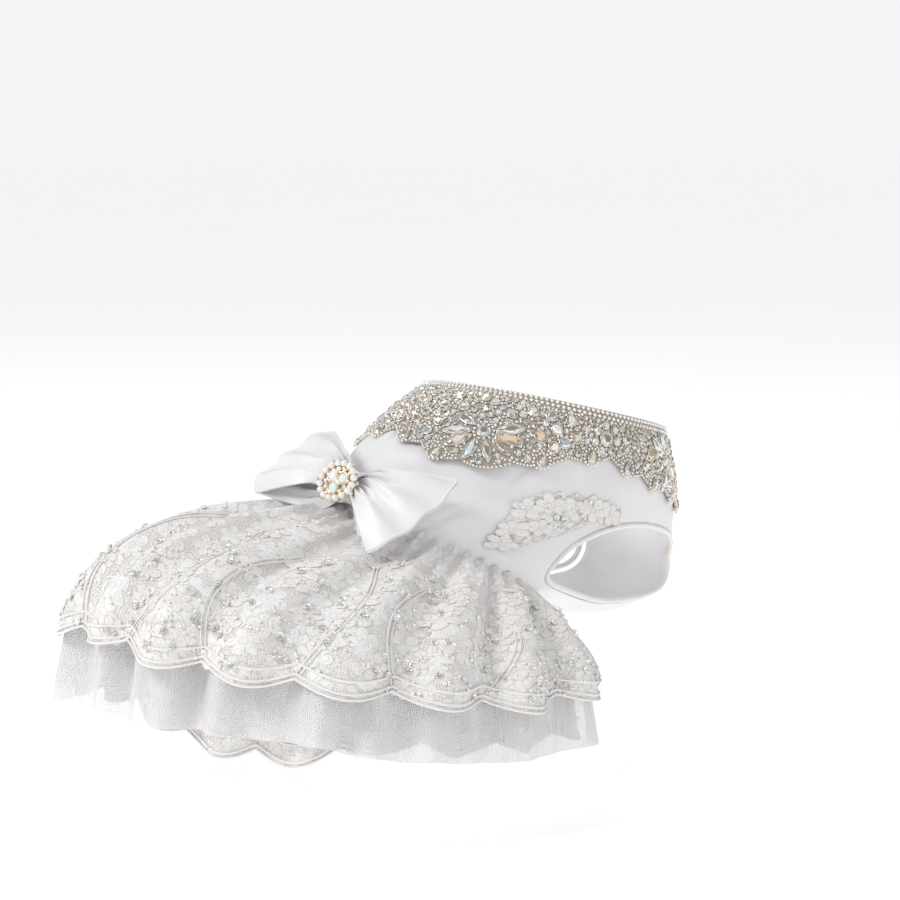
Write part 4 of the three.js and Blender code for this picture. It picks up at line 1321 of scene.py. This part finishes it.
def make_appliques():
    turns = np.linspace(APPLIQUE_EDGES[0]["at"], APPLIQUE_EDGES[-1]["at"], 70)
    for side, mirror in (("right", 1), ("left", -1)):
        def surface(share, turn, lift):
            return bodice_surface(share, turn, lift) * np.array([1, mirror, 1])

        def point_at(part, turn):
            top = from_table(APPLIQUE_EDGES, "top", turn)
            bottom = from_table(APPLIQUE_EDGES, "bottom", turn)
            wave = 0.012 * np.sin(np.radians(turn * 60)) * (2 * part - 1)
            return surface(top + (bottom - top) * part + wave, turn, SIDE_LACE_LIFT)

        points = sheet_grid(turns, np.linspace(0, 1, 26), point_at)
        if mirror < 0:
            points = points[::-1]
        piece = cloth(f"side_lace_{side}", points, lengths_map(points), SIDE_LACE_WALL)
        place_piece(piece, material("side_lace"), "lace", f"applique_{side}")
        extra = embroider(
            f"side_flowers_{side}", SIDE_FLOWERS, lambda s, t, h: surface(s, t, 0.0008 + h),
            lambda centre: SIDE_SCALES, 0.0062, 0.0002, material("side_petal"), 31, "lace",
        )
        spots = surface_spots(lambda s, t, h: surface(s, t, 0.0012 + h), SIDE_SEQUINS)
        sparkle = copies(f"side_beads_{side}", sequin(), spots, np.array([0.0014, 0.0014, 0.0009]))
        smooth(sparkle, math.radians(50))
        place_piece(sparkle, material("clear"), "crystal")


def surface_spots(surface, centres):
    """Spots with their axes on a surface given by share and angle."""
    turn = np.array([c[0] for c in centres], float)
    share = np.array([c[1] for c in centres], float)
    origin = surface(share, turn, 0.0)
    around = unit(surface(share, turn + 0.4, 0.0) - surface(share, turn - 0.4, 0.0))
    out = unit(surface(share, turn, 0.001) - origin)
    around = unit(around - out * (around * out).sum(-1, keepdims=True))
    return origin, np.cross(around, out), around, out


def skirt_layer_piece(name, node, level, reach, look, slot):
    """One layer of the skirt. reach gives how far it goes past the hem line at each angle."""
    columns, rows = SKIRT_LAYERS[level]["grid"]
    edge = SKIRT_TURN - level * LAYER_STEP
    turns = np.linspace(-edge, edge, columns)

    def point_at(part, turn):
        share = part * (1 + reach(turn) / skirt_length(turn))
        return skirt_layer(share, turn, level)

    points = sheet_grid(turns, np.linspace(0, 1, rows), point_at)
    piece = cloth(name, points, lengths_map(points), SKIRT_LAYERS[level]["wall"])
    place_piece(piece, material(look), slot, node)
    return piece, points


def lace_reach(turn):
    return set_size("scallop") * (hem_wave(turn, SKIRT_SCALLOPS) - 0.5)


def tulle_reach(turn):
    """Its edge is jagged, and shorter where the petticoat shows most."""
    jag = np.abs((turn * 0.11) % 1 - 0.5) * 2
    shorter = 0.005 * np.exp(-(((turn - TUCK_AT) / TUCK_WIDTH) ** 4))
    uneven = 0.004 * jag * np.clip((-turn - 10) / 40, 0.15, 1)
    return set_size("tulle_drop") * hem_station("drop", turn) - shorter - uneven


def petticoat_reach(turn):
    longer = 0.008 * np.exp(-(((turn - TUCK_AT) / TUCK_WIDTH) ** 4))
    scallop = set_size("scallop") * (hem_wave(turn, PETTICOAT_SCALLOPS) - 1)
    return set_size("petticoat_drop") * hem_station("drop", turn) + scallop + longer


def hem_cords(name, level, reach, edge, rows, radius):
    """Corded edges along a scalloped hem: one cord at each inset from the edge."""
    turns = np.linspace(-edge, edge, 460)
    paths, normals = [], []
    for inset in rows:
        share = 1 + (reach(turns) - inset) / skirt_length(turns)
        path = skirt_layer(share, turns, level, 0.0005)
        paths.append(path)
        normals.append(unit(skirt_layer(share, turns, level, 0.0015) - path))
    piece = tubes(name, paths, normals, radius, 6)
    fix_normals(piece)
    return place_piece(piece, material("cord"), "lace")


def panel_cords():
    """Corded edges of the lace panels, from the gathers down to the dips of the hem."""
    part = np.linspace(0, 1, 60)
    paths, normals = [], []
    for number in range(1, SKIRT_SCALLOPS):
        foot = -SKIRT_TURN + number * 2 * SKIRT_TURN / SKIRT_SCALLOPS
        bow = (7 if number % 2 else -6) * np.sin(part * math.pi) * (1 - part * 0.4)
        for offset in (0.0, 0.9):
            turn = foot + bow + offset
            share = 0.3 + 0.66 * part + 0.03 * (number % 3) * (1 - part)
            path = skirt_layer(share, turn, 0, 0.0004)
            paths.append(path)
            normals.append(unit(skirt_layer(share, turn, 0, 0.0014) - path))
    piece = tubes("lace_panel_cords", paths, normals, 0.00042, 5)
    fix_normals(piece)
    return place_piece(piece, material("cord"), "lace")


def lace_surface(share, turn, lift):
    return skirt_layer(share, turn, 0, lift)


def make_lace_skirt():
    piece, points = skirt_layer_piece("lace_overskirt", "lace_skirt", 0, lace_reach, "lace", "lace")
    edges = hem_cords("lace_hem_cords", 0, lace_reach, SKIRT_TURN, (0.0, 0.0022, 0.0068), 0.00055)
    panels = panel_cords()
    source = np.random.default_rng(21)
    centres = []
    for _ in range(2200):
        turn = source.uniform(-SKIRT_TURN + 5, SKIRT_TURN - 5)
        share = source.uniform(0.2, 0.97)
        gap = [((turn - t) * share * 2.0) ** 2 + ((share - s) * 125) ** 2 for t, s in centres]
        if not gap or min(gap) > SKIRT_FLOWER_ROOM**2:
            centres.append((turn, share))
    flowers = embroider(
        "skirt_flowers", centres, lace_surface,
        lambda c: (max(c[1], 0.25) * 0.0023, float(skirt_length(c[0])) * 1.05),
        0.0058, 0.00024, material("petal"), 41, "lace",
    )
    make_skirt_beads(centres)


def make_skirt_beads(centres):
    """Sequins and seed beads, scattered round the flowers."""
    source = np.random.default_rng(22)
    cups, seeds = [], []
    for turn, share in centres:
        for _ in range(SEQUINS_AT_FLOWER):
            cups.append((turn + source.normal(0, 3.2), share + source.normal(0, 0.05)))
        for _ in range(SEEDS_AT_FLOWER):
            seeds.append((turn + source.normal(0, 2.4), share + source.normal(0, 0.035)))
    cups = [(t, min(max(s, 0.12), 0.97)) for t, s in cups if abs(t) < SKIRT_TURN - 3]
    seeds = [(t, min(max(s, 0.1), 0.97)) for t, s in seeds if abs(t) < SKIRT_TURN - 3]
    radius = source.uniform(0.0012, 0.0019, len(cups))
    spots = surface_spots(lambda s, t, h: lace_surface(s, t, 0.0006 + h), cups)
    piece = copies("skirt_sequins", sequin(), spots, np.column_stack([radius, radius, radius * 0.6]))
    smooth(piece, math.radians(50))
    place_piece(piece, material("clear"), "crystal")
    tints = np.array([(CLEAR, CHAMPAGNE, (1, 1, 1))[i % 3] for i in range(len(seeds))])
    radius = source.uniform(0.00055, 0.00085, len(seeds))[:, None] * np.ones((1, 3))
    spots = surface_spots(lambda s, t, h: lace_surface(s, t, 0.0009 + h), seeds)
    piece = copies("skirt_seed_beads", round_bead(1), spots, radius, 0, 0, tints)
    smooth(piece)
    place_piece(piece, material("bead"), "crystal")


def make_tulle():
    piece, points = skirt_layer_piece("tulle_underskirt", "tulle_skirt", 1, tulle_reach, "tulle", "tulle")


def make_petticoat():
    piece, points = skirt_layer_piece("lace_petticoat", "petticoat", 2, petticoat_reach, "trim_lace", "lace")
    edge = SKIRT_TURN - 2 * LAYER_STEP
    edges = hem_cords("petticoat_cords", 2, petticoat_reach, edge, (0.0, 0.002, 0.009), 0.0005)


def bow_axes(tilt):
    """Frame of the bow: x towards the wearer's right, y towards the neck, z out of the back."""
    at = float(share_at(BOW_FALL, BOW_TURN))
    down, around, out = (np.ravel(part) for part in sheet_axes(bodice_point, at, float(BOW_TURN)))
    centre = np.ravel(lifted(bodice_point, at, float(BOW_TURN), BOW_LIFT))
    angle = math.radians(tilt)
    up = -down * math.cos(angle) + out * math.sin(angle)
    back = out * math.cos(angle) + down * math.sin(angle)
    return centre, np.stack([around, up, back])


def on_bow(points, tilt):
    centre, axes = bow_axes(tilt)
    return centre + np.asarray(points) @ axes


def make_bow_loop(name, side, length, width, climb, droop):
    loop, wide = set_size("bow_loop"), set_size("bow_width")
    way, across = np.meshgrid(np.linspace(0, 1, 90), np.linspace(1, -1, 56), indexing="ij")
    reach = np.sin(math.pi * way)
    face = np.cos(math.pi * way)
    spread = BOW_NECK + (wide * width - BOW_NECK) * reach**0.85
    out = loop * length * reach * (1 - 0.05 * across**2 - 0.12 * across**6)
    swell = BOW_PUFF / 2 * np.sin(math.pi * (reach + 0.25) / 1.25) + BOW_WALL
    creases = np.cos(across * 3 * math.pi) + 0.6 * np.cos(across * 7 * math.pi + 1.1) * (1 - reach) ** 1.5
    fold = BOW_CREASE * creases * reach**0.7 * (1.25 - reach)
    pleat = BOW_PLEAT * np.cos(across * 8 * math.pi) * np.exp(-(((reach - 0.16) / 0.16) ** 2)) * np.sign(face)
    x = side * (KNOT[0] / 2 - 0.0012 + out)
    y = across * spread / 2 + loop * climb * reach
    z = face * swell + fold + pleat - loop * droop * reach**2
    points = on_bow(np.stack([x, y, z], -1), BOW_TILT)
    if side < 0:
        points = points[::-1]
    piece = cloth(f"satin_loop_{name}", points, lengths_map(points), BOW_CLOTH)
    place_piece(piece, material("satin"), "satin", f"bow_loop_{name}")


def make_knot():
    """Gathered band round the middle of the bow."""
    turn, along = np.meshgrid(np.linspace(0, 2 * math.pi, 49)[:-1], np.linspace(-1, 1, 25), indexing="ij")
    pinch = 1 - 0.16 * np.cos(along * math.pi / 2) + 0.05 * np.cos(along * 9)
    x = along * KNOT[0] / 2
    y = KNOT[1] / 2 * np.cos(turn) * pinch
    z = KNOT[2] / 2 * np.sin(turn) * pinch
    points = on_bow(np.stack([x, y, z], -1), BROOCH_TILT)
    piece = cloth("satin_knot", points, lengths_map(points, True), BOW_CLOTH, wrap=True)
    fix_normals(piece)
    place_piece(piece, material("satin"), "satin", "bow_knot")


def make_bow():
    for name, shape in BOW_LOOPS.items():
        make_bow_loop(name, **shape)
    make_knot()


def brooch_spots(places, height):
    """Spots on the brooch's face: each place is x and y from its centre."""
    flat = np.array([(x, y, height) for x, y in places], float)
    _, axes = bow_axes(BROOCH_TILT)
    spread = [np.repeat(axis[None], len(flat), 0) for axis in (-axes[1], axes[0], axes[2])]
    return on_bow(flat, BROOCH_TILT), *spread


def round_places(radius, count, start=0.0):
    angles = start + np.arange(count) * 2 * math.pi / count
    return [(radius * math.cos(a), radius * math.sin(a)) for a in angles]


def make_brooch():
    foot = KNOT[2] / 2 + 0.0003
    face = foot + BROOCH_PLATE
    outline = outline_shape("round", 40)
    rings = [(0.6, 0.0), (0.96, 0.0), (1.0, 0.4), (0.94, 0.8), (0.8, 0.62), (0.55, 0.9), (0.2, 1.0)]
    plate = ringed([ring_at(outline, size, height) for size, height in rings])
    backed = (plate[0], plate[1] + [tuple(range(40))[::-1]])
    size = [BROOCH_RADIUS, BROOCH_RADIUS, BROOCH_PLATE]
    base = copies("brooch_base", backed, brooch_spots([(0, 0)], foot), size)
    smooth(base, math.radians(40))
    size = [OPAL_RADIUS, OPAL_RADIUS, 0.0022]
    collets = copies("opal_cups", stone_cup("round", 20), opal_spots(face), size)
    smooth(collets)
    metal = join("brooch_setting", [base, collets])
    place_piece(metal, material("gold"), "gold", "brooch")
    outer = round_places(BROOCH_RADIUS - 0.0006, 16)
    inner = round_places(BROOCH_RADIUS - 0.0032, 12, 0.2)
    places = outer + inner + [(0, 0)]
    sizes = [OUTER_PEARL] * len(outer) + [INNER_PEARL] * len(inner) + [MIDDLE_PEARL]
    tints = np.array([((1.0, 0.86, 0.7), (1.0, 0.95, 0.9))[i % 2] for i in range(len(places))])
    pearls = copies(
        "brooch_pearls", round_bead(2), brooch_spots(places, face + 0.0003),
        np.array(sizes)[:, None] * np.ones((1, 3)), 0, 0, tints,
    )
    smooth(pearls)
    place_piece(pearls, material("bead"), "gold")
    sparks = round_places(BROOCH_RADIUS + 0.0008, 12, 0.13)
    size = [0.0011, 0.0011, 0.001]
    glints = copies("brooch_stones", cut_stone("round", 8), brooch_spots(sparks, foot + 0.0008), size)
    place_piece(glints, material("stone"), "crystal")
    for number in range(3):
        spots = [part[number : number + 1] for part in opal_spots(face)]
        size = [OPAL_RADIUS, OPAL_RADIUS, OPAL_RADIUS * 0.8]
        opal = copies(f"opal_dome_{number + 1}", round_bead(3), spots, size)
        smooth(opal)
        place_piece(opal, material("opal"), "opal", f"opal_{number + 1}")


def opal_spots(height):
    return brooch_spots(round_places(OPAL_RING, 3, math.pi / 6), height)


# Stage

def make_floor(low):
    """Wide round studio floor."""
    bpy.ops.object.select_all(action="DESELECT")
    bpy.ops.mesh.primitive_circle_add(vertices=128, radius=60, fill_type="NGON")
    floor = bpy.context.object
    floor.name = "floor"
    bpy.ops.object.mode_set(mode="EDIT")
    bpy.ops.mesh.inset(thickness=50)
    bpy.ops.object.mode_set(mode="OBJECT")
    floor.data.transform(Matrix.Translation((0, 0, low)))
    return floor


def camera_axes():
    """Directions to the camera's right, up and back."""
    azimuth, elevation = math.radians(CAMERA_AZIMUTH), math.radians(CAMERA_ELEVATION)
    level = math.cos(elevation)
    back = Vector((math.sin(azimuth) * level, -math.cos(azimuth) * level, math.sin(elevation)))
    right = Vector((math.cos(azimuth), math.sin(azimuth), 0))
    return right, back.cross(right), back


def make_camera(right, up, back):
    place = back * CAMERA_DISTANCE + right * CAMERA_SHIFT[0] + up * CAMERA_SHIFT[1]
    camera = bpy.data.objects.new("camera", bpy.data.cameras.new("camera"))
    camera.data.lens = CAMERA_LENS
    camera.data.sensor_width = 36
    camera.data.clip_start = 0.01
    turn = Matrix((right, up, back)).transposed()
    camera.matrix_world = Matrix.Translation(place) @ turn.to_4x4()
    bpy.context.scene.collection.objects.link(camera)
    bpy.context.scene.camera = camera


def make_lamps(right, back):
    middle = Vector([(a + b) / 2 for a, b in zip(*CAD_BOX)])
    for row in LAMPS:
        offset = back * row["back"] + right * row["right"] + Vector((0, 0, row["up"]))
        lamp = bpy.data.lights.new(row["name"], "AREA")
        lamp.energy = row["power"]
        lamp.size = row["size"]
        made = bpy.data.objects.new(row["name"], lamp)
        made.location = middle + offset
        made.rotation_euler = (-offset).to_track_quat("-Z", "Y").to_euler()
        bpy.context.scene.collection.objects.link(made)


def make_world():
    """A soft light all round, and a pale backdrop that only the camera sees."""
    world = bpy.data.worlds.new("studio")
    world.use_nodes = True
    nodes, link = world.node_tree.nodes, world.node_tree.links.new
    background = nodes["Background"]
    background.inputs["Color"].default_value = WORLD_TINT
    background.inputs["Strength"].default_value = WORLD_LIGHT
    backdrop = nodes.new("ShaderNodeBackground")
    backdrop.inputs["Color"].default_value = BACKDROP
    paths = nodes.new("ShaderNodeLightPath")
    mixed = nodes.new("ShaderNodeMixShader")
    link(paths.outputs["Is Camera Ray"], mixed.inputs[0])
    link(background.outputs[0], mixed.inputs[1])
    link(backdrop.outputs[0], mixed.inputs[2])
    link(mixed.outputs[0], nodes["World Output"].inputs["Surface"])
    bpy.context.scene.world = world


def make_stage():
    floor = make_floor(CAD_BOX[0][2] - FLOOR_DROP)
    floor.data.materials.append(material("floor"))
    right, up, back = camera_axes()
    make_camera(right, up, back)
    make_lamps(right, back)
    make_world()
    bpy.context.scene.view_settings.view_transform = "Standard"


# Add-on

def colour_setting(name, description, value):
    return FloatVectorProperty(
        name=name, description=description, default=value, subtype="COLOR", min=0, max=1
    )


def length_setting(name, description, value):
    return FloatProperty(
        name=name, description=description, default=value, unit="LENGTH", min=0, precision=4
    )


class DressSizes(bpy.types.PropertyGroup):
    """Sizes of the dress."""

    fold_depth: length_setting("Fold depth", "Height of the skirt's folds at the hem", 0.009)
    scallop: length_setting("Scallop", "Depth of the scallops of the lace hems", 0.006)
    tulle_drop: length_setting("Tulle drop", "How far the tulle hangs below the lace", 0.027)
    petticoat_drop: length_setting("Petticoat drop", "How far the petticoat hangs below the lace", 0.024)
    bow_loop: length_setting("Bow loop", "Length of the bow's longer loop", 0.044)
    bow_width: length_setting("Bow width", "Width of the bow's wider loop", 0.058)


class DressLooks(bpy.types.PropertyGroup):
    """Colours of the dress."""

    satin_colour: colour_setting("Satin", "Lit side of the satin", (0.92, 0.912, 0.918))
    satin_shade: colour_setting("Satin shade", "Shaded weave of the satin", (0.86, 0.846, 0.864))
    lace_colour: colour_setting("Lace", "Lace of the skirt", (0.97, 0.955, 0.94))
    lace_warm: colour_setting("Warm lace", "Ivory patches of the lace", (0.93, 0.885, 0.835))
    net_colour: colour_setting("Net", "Net under the stones", (0.72, 0.66, 0.58))
    tulle_colour: colour_setting("Tulle", "Lit side of the tulle", (0.95, 0.94, 0.95))
    tulle_shade: colour_setting("Tulle shade", "Shaded threads of the tulle", (0.90, 0.875, 0.885))
    # Painted shade of the darkest facets of the stones.
    stone_shade: colour_setting("Stone shade", "Darkest facets of the stones", (0.3, 0.285, 0.26))
    metal_colour: colour_setting("Cups", "Metal of the stone cups", (0.95, 0.89, 0.81))
    gold_colour: colour_setting("Brooch", "Metal of the brooch", (0.88, 0.70, 0.50))
    pearl_colour: colour_setting("Pearl", "Light spots of the beads", (0.97, 0.95, 0.92))


class MakeBodice(bpy.types.Operator):
    """Makes the satin bodice with its leg holes."""

    bl_idname = "dress.bodice"
    bl_label = "Bodice"
    bl_options = {"REGISTER", "UNDO"}

    def execute(self, context):
        make_bodice()
        return {"FINISHED"}


class MakeBindings(bpy.types.Operator):
    """Makes the rolled edges of the leg holes."""

    bl_idname = "dress.bindings"
    bl_label = "Leg edges"
    bl_options = {"REGISTER", "UNDO"}

    def execute(self, context):
        make_bindings()
        return {"FINISHED"}


class MakeCollarNet(bpy.types.Operator):
    """Makes the net that carries the stones."""

    bl_idname = "dress.collar_net"
    bl_label = "Collar net"
    bl_options = {"REGISTER", "UNDO"}

    def execute(self, context):
        make_collar_net()
        return {"FINISHED"}


class MakeCollarStones(bpy.types.Operator):
    """Makes the cut stones and beads of the collar."""

    bl_idname = "dress.collar_stones"
    bl_label = "Collar stones"
    bl_options = {"REGISTER", "UNDO"}

    def execute(self, context):
        make_collar_stones()
        return {"FINISHED"}


class MakeAppliques(bpy.types.Operator):
    """Makes the lace on the bodice's sides."""

    bl_idname = "dress.appliques"
    bl_label = "Side lace"
    bl_options = {"REGISTER", "UNDO"}

    def execute(self, context):
        make_appliques()
        return {"FINISHED"}


class MakeLaceSkirt(bpy.types.Operator):
    """Makes the gathered lace overskirt with its cords and beads."""

    bl_idname = "dress.lace_skirt"
    bl_label = "Lace skirt"
    bl_options = {"REGISTER", "UNDO"}

    def execute(self, context):
        make_lace_skirt()
        return {"FINISHED"}


class MakeTulle(bpy.types.Operator):
    """Makes the pleated tulle underskirt."""

    bl_idname = "dress.tulle"
    bl_label = "Tulle"
    bl_options = {"REGISTER", "UNDO"}

    def execute(self, context):
        make_tulle()
        return {"FINISHED"}


class MakePetticoat(bpy.types.Operator):
    """Makes the lower lace tier."""

    bl_idname = "dress.petticoat"
    bl_label = "Petticoat"
    bl_options = {"REGISTER", "UNDO"}

    def execute(self, context):
        make_petticoat()
        return {"FINISHED"}


class MakeBow(bpy.types.Operator):
    """Makes the loops and the knot of the bow."""

    bl_idname = "dress.bow"
    bl_label = "Bow"
    bl_options = {"REGISTER", "UNDO"}

    def execute(self, context):
        make_bow()
        return {"FINISHED"}


class MakeBrooch(bpy.types.Operator):
    """Makes the jewelled brooch on the knot."""

    bl_idname = "dress.brooch"
    bl_label = "Brooch"
    bl_options = {"REGISTER", "UNDO"}

    def execute(self, context):
        make_brooch()
        return {"FINISHED"}


class MakeStage(bpy.types.Operator):
    """Makes the floor, the lights and the camera."""

    bl_idname = "dress.stage"
    bl_label = "Stage"
    bl_options = {"REGISTER", "UNDO"}

    def execute(self, context):
        make_stage()
        return {"FINISHED"}


OPERATORS = [
    MakeBodice, MakeBindings, MakeCollarNet, MakeCollarStones, MakeAppliques, MakeLaceSkirt,
    MakeTulle, MakePetticoat, MakeBow, MakeBrooch, MakeStage,
]


class DRESS_PT_panel(bpy.types.Panel):
    """Lists the dress's pieces, sizes and colours."""

    bl_label = "Dress"
    bl_idname = "DRESS_PT_panel"
    bl_space_type = "VIEW_3D"
    bl_region_type = "UI"
    bl_category = "Dress"

    def draw(self, context):
        for operator in OPERATORS:
            self.layout.operator(operator.bl_idname)
        for name in DressSizes.__annotations__:
            self.layout.prop(context.scene.dress_sizes, name)
        for name in DressLooks.__annotations__:
            self.layout.prop(context.scene.dress_looks, name)


CLASSES = [DressSizes, DressLooks, *OPERATORS, DRESS_PT_panel]


def register():
    for kind in CLASSES:
        bpy.utils.register_class(kind)
    bpy.types.Scene.dress_sizes = PointerProperty(type=DressSizes)
    bpy.types.Scene.dress_looks = PointerProperty(type=DressLooks)


def unregister():
    del bpy.types.Scene.dress_looks
    del bpy.types.Scene.dress_sizes
    for kind in reversed(CLASSES):
        bpy.utils.unregister_class(kind)


def main():
    register()
    for operator in OPERATORS:
        key = operator.bl_idname.split(".")[1]
        getattr(bpy.ops.dress, key)()


if __name__ == "__main__":
    main()
